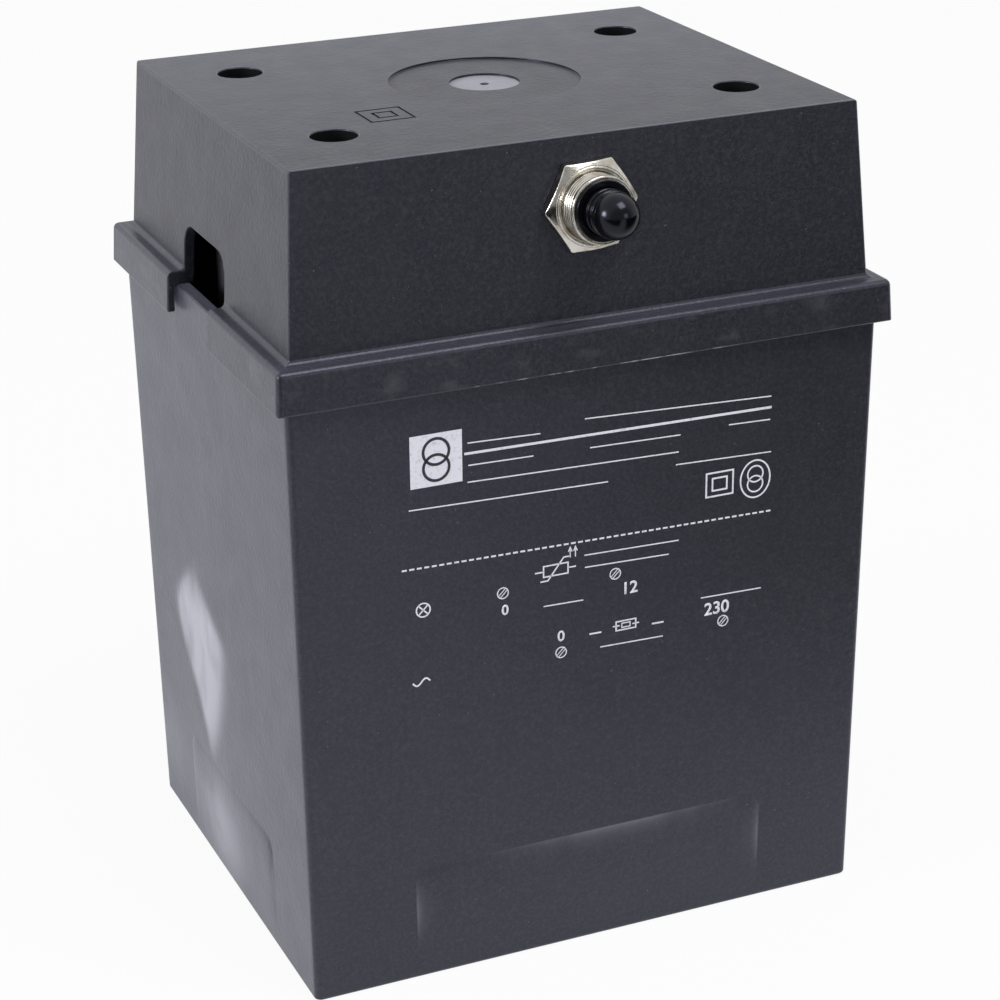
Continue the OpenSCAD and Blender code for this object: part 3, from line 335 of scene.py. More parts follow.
# The patch lies between a rear and a front edge, which stand far apart at its broadest height.
x, y, z = spots(tub.data.vertices).T
rear_edge = 10 + 17 * swell(17, 11)
front_edge = 14 - 15 * swell(26, 7)
from_rear = 1 / (1 + np.exp((y - rear_edge + 0.6) / 0.7))
from_front = 1 / (1 + np.exp((front_edge + 0.9 - y) / 1.5))
patch = from_rear * from_front * np.clip((z - 14) / 16, 0, 1) * np.clip((67 - z) / 16, 0, 1)
haze = 0.5 * cloud(6, 10, 11, 9) + 0.2 * cloud(38, 14, 8, 8) + 0.1 * cloud(10, 14, 34, 22)
# Painted sheen: the pale patch and its haze, on the left wall alone.
mark("rubbed_sheen", np.where(x < -50, np.maximum(patch, haze), 0))

# The pads' pale edges: wear where a hand slides, and a painted highlight where they catch the light
# from above.
on_long_wall = TUB_HALF[1] - np.abs(y) < TUB_HALF[0] - np.abs(x)
along = np.where(on_long_wall, x, y)
half = np.where(on_long_wall, *PAD_HALF)
way_in = way_into_pad(along, z, half)
by_side = half - np.abs(along) < PAD_TOP - z
handled_and_lit = np.where(by_side, np.exp(-((z - 13.5) / 4.5) ** 2), np.exp(-((along - 6) / 19) ** 2))
worn_highlight = np.where(way_in > 0, np.exp(-way_in / np.where(by_side, 0.8, 1.3)), 0) * handled_and_lit
mark("worn_highlight", np.where(np.hypot(x / 53, y / 43) > 0.7, worn_highlight, 0))


def finish(name, colour, roughness, metallic=0.0, specular=0.5, dust=0.0):
    """A finish with its plain values on the surface shader's own sockets. dust is the sheen of
    fine dust and grain, which pales a surface that is seen at a slant."""
    material = bpy.data.materials.new(name)
    material.use_nodes = True
    sockets = material.node_tree.nodes["Principled BSDF"].inputs
    for socket, value in (("Base Color", (*colour, 1)), ("Roughness", roughness),
                          ("Metallic", metallic), ("Specular IOR Level", specular),
                          ("Sheen Weight", dust), ("Sheen Roughness", 0.4),
                          ("Sheen Tint", (0.70, 0.74, 1.0, 1))):
        sockets[socket].default_value = value
    if metallic == 0:
        sockets["Specular Tint"].default_value = (0.77, 0.80, 1.0, 1)
    return material


def mottle(material, per_metre, detail=2.0, stretch=(1, 1, 1), low=0.3, high=0.7):
    """Cloudy noise over the object's own coordinates, as a value from 0 to 1: so many clouds to
    the metre, drawn out where stretch is below 1, and cut off below low and above high."""
    tree = material.node_tree
    where, turn, noise = (tree.nodes.new(f"ShaderNode{kind}") for kind in
                          ("TexCoord", "Mapping", "TexNoise"))
    turn.inputs["Scale"].default_value = stretch
    noise.inputs["Scale"].default_value = per_metre
    noise.inputs["Detail"].default_value = detail
    tree.links.new(where.outputs["Object"], turn.inputs["Vector"])
    tree.links.new(turn.outputs["Vector"], noise.inputs["Vector"])
    return ramp(tree, noise.outputs["Fac"], low, high)


def tint(material, amount, colour):
    """Mixes a colour over what the finish has so far, by the amount at each point."""
    tree = material.node_tree
    socket = tree.nodes["Principled BSDF"].inputs["Base Color"]
    mix = tree.nodes.new("ShaderNodeMix")
    mix.data_type = "RGBA"
    if socket.is_linked:
        tree.links.new(socket.links[0].from_socket, mix.inputs["A"])
    else:
        mix.inputs["A"].default_value = socket.default_value
    mix.inputs["B"].default_value = (*colour, 1)
    tree.links.new(amount, mix.inputs["Factor"])
    tree.links.new(mix.outputs["Result"], socket)


def polish(material, amount, rough_low, rough_high):
    """Sets the roughness between two values by the amount at each point."""
    tree = material.node_tree
    tree.links.new(ramp(tree, amount, 0, 1, rough_low, rough_high),
                   tree.nodes["Principled BSDF"].inputs["Roughness"])


def grain(material, height, depth):
    """Adds relief: the height, from 0 to 1, times a depth in millimetres."""
    tree = material.node_tree
    socket = tree.nodes["Principled BSDF"].inputs["Normal"]
    bump = tree.nodes.new("ShaderNodeBump")
    bump.inputs["Distance"].default_value = depth * MM
    if socket.is_linked:
        tree.links.new(socket.links[0].from_socket, bump.inputs["Normal"])
    tree.links.new(height, bump.inputs["Height"])
    tree.links.new(bump.outputs["Normal"], socket)


def moulded_black(name, roughness, specular, dust, grain_depth):
    """Black moulded plastic: a skin of fine spark-eroded grain, paler where it is dusty, with
    faint flow streaks up the walls and a few bright specks."""
    material = finish(name, (0.0115, 0.0115, 0.016), roughness, specular=specular, dust=dust)
    tint(material, mottle(material, 90, 4.0, low=0.35, high=0.75), (0.015, 0.015, 0.020))
    tint(material, mottle(material, 700, 3.0, (1, 1, 0.04), 0.5, 0.95), (0.017, 0.017, 0.022))
    tint(material, mottle(material, 3800, 1.0, low=0.5, high=0.8), (0.030, 0.030, 0.038))
    tint(material, mottle(material, 1300, 2.0, low=0.45, high=0.8), (0.030, 0.030, 0.036))
    tint(material, mottle(material, 2900, 0.0, low=0.85, high=0.91), (0.13, 0.13, 0.16))
    polish(material, mottle(material, 160, 3.0), roughness - 0.02, roughness + 0.03)
    grain(material, mottle(material, 2600, 3.0), grain_depth)
    grain(material, mottle(material, 1000, 2.0), grain_depth + 0.012)
    return material


tub_plastic = moulded_black("tub_plastic", 0.36, 0.52, 0.33, 0.012)
# Pale tints: the patch's painted sheen, and the pads' edges, partly wear and partly painted
# highlight.
for name, paler in (("rubbed_sheen", (0.38, 0.38, 0.43)), ("worn_highlight", (0.13, 0.13, 0.15))):
    amount = tub_plastic.node_tree.nodes.new("ShaderNodeAttribute")
    amount.attribute_name = name
    patchy = mottle(tub_plastic, 140, 4.0, (1, 1, 0.5), 0.0, 0.52)
    tint(tub_plastic, joined(tub_plastic.node_tree, "MULTIPLY", amount.outputs["Fac"], patchy), paler)


def fit(thing, material, body, node):
    """Gives a piece its finish and the body that it rides on, and hides the CAD node that it stands
    for."""
    thing.data.materials.append(material)
    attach(thing, body)
    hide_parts(node)


fit(tub, tub_plastic, "tub", "case_tub")


# Casting resin: a dull grey-black filled resin. It is poured into the tub round the core and the
# coil, up to the leads' tails, and sets a little uneven.
def dress(material, *names, soft=0):
    """Gives the CAD solids of these names their finish. Where soft is above 0 their edges are
    rounded too, by modifiers alone: their triangles are joined into whole faces, and what folds
    by more than 30 degrees gets that radius in millimetres."""
    for name in names:
        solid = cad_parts[name]
        solid.data.materials.clear()
        solid.data.materials.append(material)
        if soft > 0:
            solid.modifiers.new("join", "WELD").merge_threshold = 1e-6
            whole = solid.modifiers.new("whole_faces", "DECIMATE")
            whole.decimate_type, whole.angle_limit = "DISSOLVE", np.radians(0.5)
            edge = solid.modifiers.new("soft_edges", "BEVEL")
            edge.width, edge.segments = soft * MM, 2
            edge.angle_limit, edge.harden_normals = np.radians(30), True


resin = finish("casting_resin", (0.035, 0.035, 0.038), 0.35)
tint(resin, mottle(resin, 60, 4.0), (0.05, 0.048, 0.045))
grain(resin, mottle(resin, 120, 2.0), 0.15)
dress(resin, "resin_fill")

# Core: E and I sheets of silicon steel, punched, and stacked flat in packets that lap each
# other. Four zinc-plated bolts with washers and nuts draw them up.
ALONG_SHEETS = (0.02, 0.02, 1)
sheet_steel = finish("sheet_steel", (0.25, 0.26, 0.28), 0.42, 1.0)
tint(sheet_steel, mottle(sheet_steel, 1300, 1.0, ALONG_SHEETS), (0.10, 0.10, 0.11))
tint(sheet_steel, mottle(sheet_steel, 70, 5.0, low=0.5, high=0.8), (0.13, 0.075, 0.045))
grain(sheet_steel, mottle(sheet_steel, 1300, 1.0, ALONG_SHEETS), 0.05)
dress(sheet_steel, "core_e_sheets", "core_i_sheets")

zinc = finish("zinc_plate", (0.55, 0.56, 0.57), 0.32, 1.0)
polish(zinc, mottle(zinc, 300, 4.0), 0.25, 0.42)
tint(zinc, mottle(zinc, 150, 3.0), (0.46, 0.45, 0.43))
dress(zinc, "core_bolts")
dress(zinc, "core_washers", "core_nuts", soft=0.15)

# Coil: two windings of enamelled copper wire, wound side by side on a moulded nylon bobbin. Each
# is lapped with yellow polyester tape.
nylon = finish("bobbin_nylon", (0.78, 0.76, 0.70), 0.45)
tint(nylon, mottle(nylon, 50, 3.0), (0.70, 0.67, 0.60))
dress(nylon, "bobbin", soft=0.3)


def wound(name, per_metre, colour):
    """Enamelled wire in a tight layer: waves along Y, so many to the metre. At a scale of 1 a
    wave takes 2 pi / 20 of a metre."""
    material = finish(name, colour, 0.3, 1.0)
    tree = material.node_tree
    where, bands = tree.nodes.new("ShaderNodeTexCoord"), tree.nodes.new("ShaderNodeTexWave")
    bands.bands_direction = "Y"
    bands.inputs["Scale"].default_value = per_metre * 2 * np.pi / 20
    bands.inputs["Distortion"].default_value = 0.0
    tree.links.new(where.outputs["Object"], bands.inputs["Vector"])
    grain(material, bands.outputs["Fac"], 0.3)
    tint(material, mottle(material, 200, 3.0), tuple(0.7 * c for c in colour))
    return material


dress(wound("thin_wire", 1910, (0.62, 0.24, 0.10)), "primary_winding")
dress(wound("thick_wire", 716, (0.66, 0.27, 0.12)), "secondary_winding")

tape = finish("polyester_tape", (0.80, 0.55, 0.10), 0.28)
tint(tape, mottle(tape, 40, 3.0), (0.72, 0.45, 0.07))
grain(tape, mottle(tape, 90, 2.0, (1, 0.15, 1)), 0.12)
dress(tape, "primary_tape", "secondary_tape")

# Thermal fuse: a small drawn metal case that stands on the back yoke against the primary. It is
# wired in series with it by a tinned tail.
fuse_metal = finish("fuse_case", (0.60, 0.58, 0.54), 0.3, 1.0)
polish(fuse_metal, mottle(fuse_metal, 400, 3.0), 0.22, 0.40)
dress(fuse_metal, "thermal_fuse", soft=0.3)
tinned = finish("tinned_wire", (0.66, 0.66, 0.65), 0.28, 1.0)
polish(tinned, mottle(tinned, 600, 3.0), 0.2, 0.38)
dress(tinned, "fuse_tail")

# Terminal plate: a black moulded plate set on the resin, with four posts for the cover's screws.
# Brass inserts are pressed into the posts, and a card of vulcanised fibre parts the two circuits.
plate = finish("plate_plastic", (0.022, 0.022, 0.025), 0.42)
tint(plate, mottle(plate, 120, 4.0), (0.032, 0.032, 0.036))
grain(plate, mottle(plate, 2200, 2.0), 0.015)
dress(plate, "terminal_plate", soft=0.3)

brass = finish("turned_brass", (0.72, 0.50, 0.20), 0.28, 1.0)
polish(brass, mottle(brass, 350, 3.0), 0.2, 0.4)
tint(brass, mottle(brass, 200, 3.0), (0.60, 0.40, 0.16))
dress(brass, "pillar_inserts")

card = finish("fibre_card", (0.46, 0.27, 0.17), 0.7)
tint(card, mottle(card, 900, 4.0, (1, 1, 0.2)), (0.38, 0.21, 0.13))
grain(card, mottle(card, 1800, 3.0), 0.03)
dress(card, "barrier_card")

# Terminal blocks: moulded nylon, grey-blue for the low voltage and grey for the mains, screwed
# down on the plate. Each of their bays has a tinned brass bar, a steel screw and a rising cage.
for colour, shade, name in (((0.10, 0.19, 0.29), (0.085, 0.16, 0.25), "sec_terminal_block"),
                            ((0.30, 0.30, 0.29), (0.25, 0.25, 0.24), "pri_terminal_block")):
    nylon_block = finish(f"{name}_nylon", colour, 0.4)
    tint(nylon_block, mottle(nylon_block, 80, 4.0), shade)
    grain(nylon_block, mottle(nylon_block, 1500, 2.0), 0.015)
    dress(nylon_block, name, soft=0.25)

bar = finish("tinned_brass", (0.68, 0.62, 0.48), 0.32, 1.0)
polish(bar, mottle(bar, 300, 3.0), 0.22, 0.42)
dress(bar, "sec_contact_bars", "pri_contact_bars", soft=0.15)

cage_steel = finish("cage_steel", (0.52, 0.53, 0.55), 0.35, 1.0)
polish(cage_steel, mottle(cage_steel, 400, 3.0), 0.26, 0.45)
tint(cage_steel, mottle(cage_steel, 180, 3.0), (0.44, 0.43, 0.42))
bays = [(side, n) for side in ("sec", "pri") for n in (1, 2)]
cages = [f"{side}_cage_{n}" for side, n in bays]
dress(cage_steel, *cages, soft=0.2)
dress(zinc, "block_screws", *[f"{side}_screw_{n}" for side, n in bays])

# Cord grips: a moulded bar behind each cable slot, in the plate's own plastic. Two screws press
# it down on the cord.
dress(plate, "sec_grip_bar", "pri_grip_bar", soft=0.3)
dress(zinc, "grip_screws")


# Leads: stranded copper in coloured insulation, bent by hand between the coil, the bars and the
# breaker.
def spline(through, steps=8):
    """A smooth path through places: between two of them, P1 and P2, with their neighbours P0
    and P3, it is half of 2 P1 + (P2 - P0) t + (2 P0 - 5 P1 + 4 P2 - P3) t^2
    + (3 P1 - P0 - 3 P2 + P3) t^3, and t runs from 0 to 1."""
    p = np.array(through, float)
    p = np.vstack([2 * p[0] - p[1], p, 2 * p[-1] - p[-2]])
    a, b, c, d = (q[:, None] for q in (p[:-3], p[1:-2], p[2:-1], p[3:]))
    t = np.linspace(0, 1, steps, endpoint=False)[None, :, None]
    path = 0.5 * (2 * b + (c - a) * t + (2 * a - 5 * b + 4 * c - d) * t ** 2
                  + (3 * b - a - 3 * c + d) * t ** 3)
    return np.vstack([path.reshape(-1, 3), p[-2]])


def full_turn(count):
    """So many angles, evenly once round."""
    return np.linspace(0, 2 * np.pi, count, endpoint=False)


def tube(name, path, diameter):
    """A round tube along a path: a circle square to the path at each of its places, and a
    slightly rounded cut at both ends."""
    way = unit(np.gradient(path, axis=0))
    side = unit(np.cross(way, [1, 0, 0]))
    over = np.cross(side, way)
    keep = np.concatenate([[0, 0, 0], np.arange(len(path)), [len(path) - 1] * 3])
    radius = np.full(len(keep), diameter / 2)
    radius[[0, -1]] = 0
    radius[[1, -2]] -= 0.15
    radius[[2, -3]] -= 0.04
    turn = full_turn(20)[None, :, None]
    points = path[keep, None] + radius[:, None, None] * (
        np.cos(turn) * side[keep, None] + np.sin(turn) * over[keep, None])
    return close(surface(name, points, closed_v=True))


def insulation(name, colour):
    """Soft coloured insulation, a little uneven in sheen."""
    material = finish(name, colour, 0.38)
    tint(material, mottle(material, 120, 3.0), tuple(0.85 * c for c in colour))
    polish(material, mottle(material, 200, 3.0), 0.32, 0.45)
    return material


BREAKER_LEAN = np.radians(3.75731)
BREAKER_Y, BREAKER_Z = -42.2487, 138.1


def at_breaker(x, up, out):
    """Places in the breaker's own frame, whose axis leans with the cover's front wall: x
    across, up along the wall, out square to it from the wall's face."""
    s, c = np.sin(BREAKER_LEAN), np.cos(BREAKER_LEAN)
    return np.stack(np.broadcast_arrays(x, BREAKER_Y + up * s - out * c,
                                        BREAKER_Z + up * c + out * s), -1)


COIL_TOP, BAR_TOP, BAR_FOOT, PLATE_TOP, BLOCK_TOP = 93.3, 110.4, 108.8, 100.5, 120.1
LEAD, THIN, FIT = 2.6, 2.2, 0.05
LEAD_X, TERMINAL_Y, BEND_R = 6.3, 9.0, 4.0
TAB_X, TAB_END, TAIL = 9.0, -38.8957, -41.3957
near_tail, far_tail = (at_breaker(x, 0, TAIL) for x in (-TAB_X, TAB_X))
swing = np.radians([-45, 0, 45])[:, None]
hook = near_tail + BEND_R * (np.array([0, 1, -1])
                             + np.hstack([0 * swing, np.cos(swing), np.sin(swing)]))
lead_in = spline(np.vstack([
    [-LEAD_X, -4.5, COIL_TOP + FIT], [-LEAD_X, -4.5, PLATE_TOP], [-LEAD_X, -4.5, BAR_TOP],
    [-LEAD_X, near_tail[1] - BEND_R / 4, BLOCK_TOP + LEAD / 2], hook, near_tail,
    at_breaker(-TAB_X, 0, TAB_END)]))
land_y, drop_z = TERMINAL_Y + LEAD / 3, far_tail[2] - BEND_R
lead_out = spline(np.vstack([
    at_breaker(TAB_X, 0, TAB_END), far_tail,
    [TAB_X - BEND_R / 4, far_tail[1] + BEND_R, far_tail[2]],
    [TAB_X / 2, far_tail[1] + 2 * BEND_R, far_tail[2] - BEND_R / 4],
    [0, land_y, far_tail[2] - BEND_R / 2],
    [-LEAD_X / 2 - BEND_R / 4, land_y + BEND_R / 4, drop_z],
    [-LEAD_X, land_y + BEND_R / 4, drop_z - BEND_R],
    [-LEAD_X, land_y, (drop_z + BAR_TOP) / 2], [-LEAD_X, land_y, BAR_TOP + 2 * FIT]]))
sec_lead = np.linspace([-LEAD_X, -TERMINAL_Y, COIL_TOP + FIT],
                       [-LEAD_X, -TERMINAL_Y, BAR_FOOT - FIT], 6)
pri_lead = spline([[LEAD_X, 16.9, COIL_TOP + FIT], [LEAD_X, 16.9, 98], [LEAD_X, 14.7, 102.7],
                   [LEAD_X, 0, 102.7], [LEAD_X, -6.8, 103.8], [LEAD_X, -9, 106.6],
                   [LEAD_X, -TERMINAL_Y, BAR_FOOT - 2 * FIT]])
fuse_lead = spline([[12, 26, 94.85], [12, 26, 100.5], [10.9, 24.9, 104.1], [9.15, 23.8, 106.3],
                    [LEAD_X, 18, 106.3], [LEAD_X, 13.4, 106.3], [LEAD_X, 9.55, 106.85],
                    [LEAD_X, TERMINAL_Y, BAR_FOOT - 2 * FIT]])
coats = {colour: insulation(f"{colour}_insulation", shade) for colour, shade in (
    ("red", (0.42, 0.025, 0.015)), ("black", (0.02, 0.02, 0.02)),
    ("blue", (0.03, 0.12, 0.42)), ("brown", (0.19, 0.07, 0.03)))}
for name, path, width, colour in (("sec_lead", sec_lead, LEAD, "black"),
                                  ("pri_lead", pri_lead, THIN, "blue"),
                                  ("fuse_lead", fuse_lead, THIN, "brown"),
                                  ("breaker_lead_in", lead_in, LEAD, "red"),
                                  ("breaker_lead_out", lead_out, LEAD, "red")):
    lead = tube(f"{name}_wire", path, width)
    lead.data.materials.append(coats[colour])
    if name.startswith("breaker"):
        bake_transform(lead)
    else:
        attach(lead, "tub")
    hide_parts(name)


# Cover: a moulding in the same plastic, with a ledge and a skirt that overhang the tub's rim, a
# cable slot in each side and shallow recesses in its top. Four screws go down deep wells into the
# terminal plate's posts and hold it.
TOP_Z, LEDGE_Z, SKIRT_TOP_Z = 149.5, 118.4, 117.8
WELL_X, WELL_Y, WELL_R = 37.0, 24.0, 4.3
MARK_X, MARK_Y, MARK_FLOOR = -26.5, -15.0, (149.14, 149.40)
PLUG_R, PLUG_Z, CHIP_Z = 6.2, (148.55, 148.85), (110.9, 111.2)
TOP_HALF, FOOT_HALF, CORNER_HALF, SKIRT_HALF = (50.5, 41), (53.9, 44.4), (54.5, 45), (55.5, 46)
SHOULDER_LOW, SHOULDER_HIGH, RECESS_Z, WIDEST = 116.5, 119.0, 148.0, 1.5


def in_wells(x, y):
    """Whether places lie in one of the four screw wells."""
    return np.hypot(np.abs(x) - WELL_X, np.abs(y) - WELL_Y) < WELL_R


def on_mark(x, y):
    """Whether places lie on the square mark."""
    return (np.abs(x - MARK_X) < 6.5) & (np.abs(y - MARK_Y) < 6)


def edge_radii(middle, way, fold):
    """Radii in millimetres for the cover's edges, from their middles, directions and folds: soft
    corners, crisp ledge and skirt, fine recesses. What folds by less than 20 degrees gets none."""
    x, y, z = middle.T
    half = np.abs(middle[:, :2])
    upright = np.abs(way[:, 2]) > 0.9 * np.linalg.norm(way, axis=1)
    outside = (half > TOP_HALF).any(1)
    at_top, at_ledge = z > TOP_Z - 0.1, (z > LEDGE_Z - 0.1) & (z < SHOULDER_HIGH)
    radius = np.full(len(x), 0.3)
    radius[at_top & outside] = 0.6
    radius[upright & (half > TOP_HALF).all(1) & (z > SHOULDER_HIGH)] = 0.6
    radius[(z > SHOULDER_LOW) & (z < SHOULDER_HIGH) & outside] = 0.35
    radius[at_ledge & outside & (fold < 0)] = 0.9
    radius[at_top & ~outside] = 0.12
    radius[at_top & on_mark(x, y)] = 0.04
    radius[at_top & in_wells(x, y)] = 0.25
    radius[(z > RECESS_Z) & (z < TOP_Z - 0.1) & ~in_wells(x, y)] = 0.1
    radius[z < SHOULDER_LOW] = 0.4
    radius[upright & (half > CORNER_HALF).all(1) & (z < SHOULDER_HIGH)] = 1.0
    radius[at_ledge & (z < LEDGE_Z + 0.1) & (half > SKIRT_HALF).any(1)] = 1.0
    return np.where(np.abs(fold) < np.radians(20), 0, radius)


def band(material, axis, low, high, soft):
    """1 where the object's own coordinate along an axis lies between two values in millimetres,
    falling to 0 over a soft margin outside them."""
    tree = material.node_tree
    value = axes(tree)[axis]
    return joined(tree, "MULTIPLY", ramp(tree, value, (low - soft) * MM, low * MM),
                  ramp(tree, value, (high + soft) * MM, high * MM))


# The cover is a copy of the CAD solid. Its skirt's top is brought up to the ledge, so that the two
# make one flat shoulder, its flat faces are made whole again, and its edges are rounded.
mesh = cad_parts["cover"].data.copy()
mesh.name = "cover_shell"
if mesh.attributes.get("custom_normal"):
    mesh.attributes.remove(mesh.attributes["custom_normal"])
corners = spots(mesh.vertices)
beyond_hood = (np.abs(corners[:, :2]) > FOOT_HALF).any(1)
corners[(np.abs(corners[:, 2] - SKIRT_TOP_Z) < 0.02) & beyond_hood, 2] = LEDGE_Z
mesh.vertices.foreach_set("co", (corners * MM).ravel())
whole = bmesh.new()
whole.from_mesh(mesh)
bmesh.ops.remove_doubles(whole, verts=whole.verts, dist=1e-6)
bmesh.ops.dissolve_degenerate(whole, edges=whole.edges, dist=1e-6)
bmesh.ops.dissolve_limit(whole, angle_limit=np.radians(0.5), verts=whole.verts, edges=whole.edges)
ends = np.array([[*e.verts[0].co, *e.verts[1].co] for e in whole.edges]) / MM
fold = np.array([e.calc_face_angle_signed(0.0) for e in whole.edges])
radius = edge_radii((ends[:, :3] + ends[:, 3:]) / 2, ends[:, 3:] - ends[:, :3], fold)
whole.to_mesh(mesh)
whole.free()
weight = mesh.attributes.new("bevel_weight_edge", "FLOAT", "EDGE")
weight.data.foreach_set("value", (radius / WIDEST).astype(np.float32))
mesh.polygons.foreach_set("use_smooth", np.ones(len(mesh.polygons), bool))
cover = placed("cover_shell", mesh)
round_off = cover.modifiers.new("round_off", "BEVEL")
round_off.limit_method = "WEIGHT"
round_off.width, round_off.segments = WIDEST * MM, 3
round_off.use_clamp_overlap, round_off.harden_normals = False, True

hood_plastic = moulded_black("cover_plastic", 0.39, 0.38, 0.15, 0.02)
edge_plastic = moulded_black("edge_plastic", 0.34, 0.55, 0.26, 0.004)
skirt_plastic = moulded_black("skirt_plastic", 0.35, 0.42, 0.26, 0.015)
tint(skirt_plastic, mottle(skirt_plastic, 130, 5.0, (1, 1, 2), 0.55, 0.8), (0.055, 0.055, 0.062))
# A darker, duller copy of the plastic for the insides of the screw wells and the square mark's
# grooves: painted shade.
shaded_bore_plastic = finish("shaded_bore_plastic", (0.004, 0.004, 0.004), 0.7, specular=0.1)
tint(shaded_bore_plastic, mottle(shaded_bore_plastic, 300, 3.0), (0.007, 0.007, 0.007))
ledge_plastic = moulded_black("ledge_plastic", 0.42, 0.20, 0.0, 0.004)
top_plastic = moulded_black("top_plastic", 0.40, 0.30, 0.08, 0.02)

# The top is painted paler and bluer towards its back: a painted sheen. A smooth plug fills the
# middle of its round recess, where the root of x^2 + y^2 is under PLUG_R, and its gloss is painted
# in pale, a painted reflection. The grooves of its square mark are painted black: painted shade.
tree = top_plastic.node_tree
painted_sheen_to_back = joined(tree, "MULTIPLY", band(top_plastic, "Z", TOP_Z - 0.08, TOP_Z + 0.5, 0.02),
               band(top_plastic, "Y", 45, 50, 80))
x, y, _ = axes(tree)
from_axis = joined(tree, "POWER", joined(tree, "ADD", joined(tree, "MULTIPLY", x, x),
                                         joined(tree, "MULTIPLY", y, y)), 0.5)
plug_reflection = joined(tree, "MULTIPLY", ramp(tree, from_axis, PLUG_R * MM, (PLUG_R - 0.1) * MM),
              band(top_plastic, "Z", *PLUG_Z, 0.1))
# Painted sheen: the top paler towards its back.
tint(top_plastic, painted_sheen_to_back, (0.042, 0.042, 0.056))
# Painted reflection: the smooth plug's gloss painted in as a pale colour.
tint(top_plastic, plug_reflection, (0.29, 0.29, 0.33))
# Painted shade: the floor of the square mark's grooves painted black.
tint(top_plastic, band(top_plastic, "Z", *MARK_FLOOR, 0.03), (0.001, 0.001, 0.001))

# The skirt's lower front edge is chipped to a pale line in places.
for chipped in (skirt_plastic, edge_plastic):
    chips = joined(chipped.node_tree, "MULTIPLY", band(chipped, "Z", *CHIP_Z, 0.15),
                   band(chipped, "Y", -50, -46.8, 0.1), band(chipped, "X", -19, 21, 6),
                   mottle(chipped, 260, 3.0, low=0.48, high=0.60))
    tint(chipped, chips, (0.40, 0.39, 0.37))

cover.data.materials.clear()
HOOD, EDGE, SKIRT, BORE, LEDGE, TOP = range(6)
for plastic in (hood_plastic, edge_plastic, skirt_plastic, shaded_bore_plastic, ledge_plastic, top_plastic):
    cover.data.materials.append(plastic)
round_off.material = EDGE
middle = spots(cover.data.polygons, "center")
x, y, z = middle.T
beyond_hood = (np.abs(middle[:, :2]) > FOOT_HALF).any(1)
face = np.full(len(x), HOOD, np.int32)
face[(z < LEDGE_Z + 0.2) & beyond_hood] = SKIRT
face[(z > LEDGE_Z - 0.1) & (z < LEDGE_Z + 0.2) & beyond_hood] = LEDGE
face[(z > RECESS_Z) & (np.abs(middle[:, :2]) < TOP_HALF).all(1)] = TOP
# Painted shade: the mark's grooves and the wells' insides take the dark copy of the plastic.
face[(z < TOP_Z - 0.05) & (z > RECESS_Z) & on_mark(x, y)] = BORE
face[(z < TOP_Z - 0.3) & (z > LEDGE_Z + 0.5) & in_wells(x, y)] = BORE
cover.data.polygons.foreach_set("material_index", face)
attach(cover, "hood")
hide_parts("cover")
dress(zinc, "cover_screws")

# Circuit breaker: a thermal breaker behind the cover's front wall. Its black moulded case holds
# a hinged blade over a fixed contact, and push-on terminals take the leads at the back.
case_black = finish("breaker_case", (0.02, 0.02, 0.021), 0.35)
tint(case_black, mottle(case_black, 150, 3.0), (0.03, 0.03, 0.031))
dress(case_black, "breaker_body", "breaker_back", soft=0.3)
dress(bar, "fixed_contact", "blade_bracket", "trip_blade", "breaker_tabs")
dress(tinned, "push_on_terminals")
dress(zinc, "blade_pin", "lock_washer")
spring_wire = finish("spring_wire", (0.42, 0.43, 0.45), 0.25, 1.0)
polish(spring_wire, mottle(spring_wire, 500, 2.0), 0.18, 0.34)
dress(spring_wire, "reset_spring")


# Neck: turned brass with a fine rolled thread, plated with nickel. It runs from inside the
# breaker's case out through the cover's wall.
def about_breaker(name, out, radius, angle, closed_u=True):
    """A surface about the breaker's axis: at each place along it and each angle round it, a
    point stands that radius away."""
    return close(surface(name, at_breaker(radius * np.cos(angle), radius * np.sin(angle), out),
                         closed_u=closed_u, closed_v=True))


NECK_R, NECK_BORE, NECK_OUT, NECK_IN, NECK_EDGE = 5.75, 4.5, 6.5, -4.3957, 0.25
THREAD_PITCH, THREAD_DEPTH, THREAD_STEP, THREAD_RUN_OUT = 0.7, 0.14, 0.07, 0.8
nickel = finish("nickel_plate", (0.60, 0.58, 0.54), 0.2, 1.0)
polish(nickel, mottle(nickel, 500, 3.0), 0.14, 0.3)
tint(nickel, mottle(nickel, 420, 5.0, low=0.42, high=0.75), (0.34, 0.30, 0.24))
grain(nickel, mottle(nickel, 900, 3.0), 0.01)

# The section runs out along the neck, over its rounded end and back through the bore. The thread
# takes THREAD_DEPTH (0.5 - 0.5 cos(turns along - angle))^2 off the radius.
straight = np.arange(NECK_IN + 0.1, NECK_OUT - 0.35, THREAD_STEP)
swing = np.linspace(0, np.pi / 2, 5)
levels = np.concatenate([[NECK_IN, NECK_IN], straight,
                         NECK_OUT - NECK_EDGE + NECK_EDGE * np.sin(swing),
                         [NECK_OUT, NECK_OUT, NECK_OUT - 0.1, NECK_IN + 0.1, NECK_IN]])
reach = np.concatenate([[NECK_BORE + 0.1, NECK_R - 0.15], np.full(len(straight), NECK_R),
                        NECK_R - NECK_EDGE + NECK_EDGE * np.cos(swing),
                        [NECK_R - 0.35, NECK_BORE + 0.1, NECK_BORE, NECK_BORE, NECK_BORE]])
around = full_turn(72)[None]
threaded = (reach > NECK_R - 0.01) & (levels < NECK_OUT - THREAD_RUN_OUT)
groove = 0.5 - 0.5 * np.cos(2 * np.pi * levels[:, None] / THREAD_PITCH - around)
radius = reach[:, None] - THREAD_DEPTH * groove ** 2 * threaded[:, None]
neck = about_breaker("neck_threaded", levels[:, None], radius, around)
fit(neck, nickel, "hood", "breaker_neck")

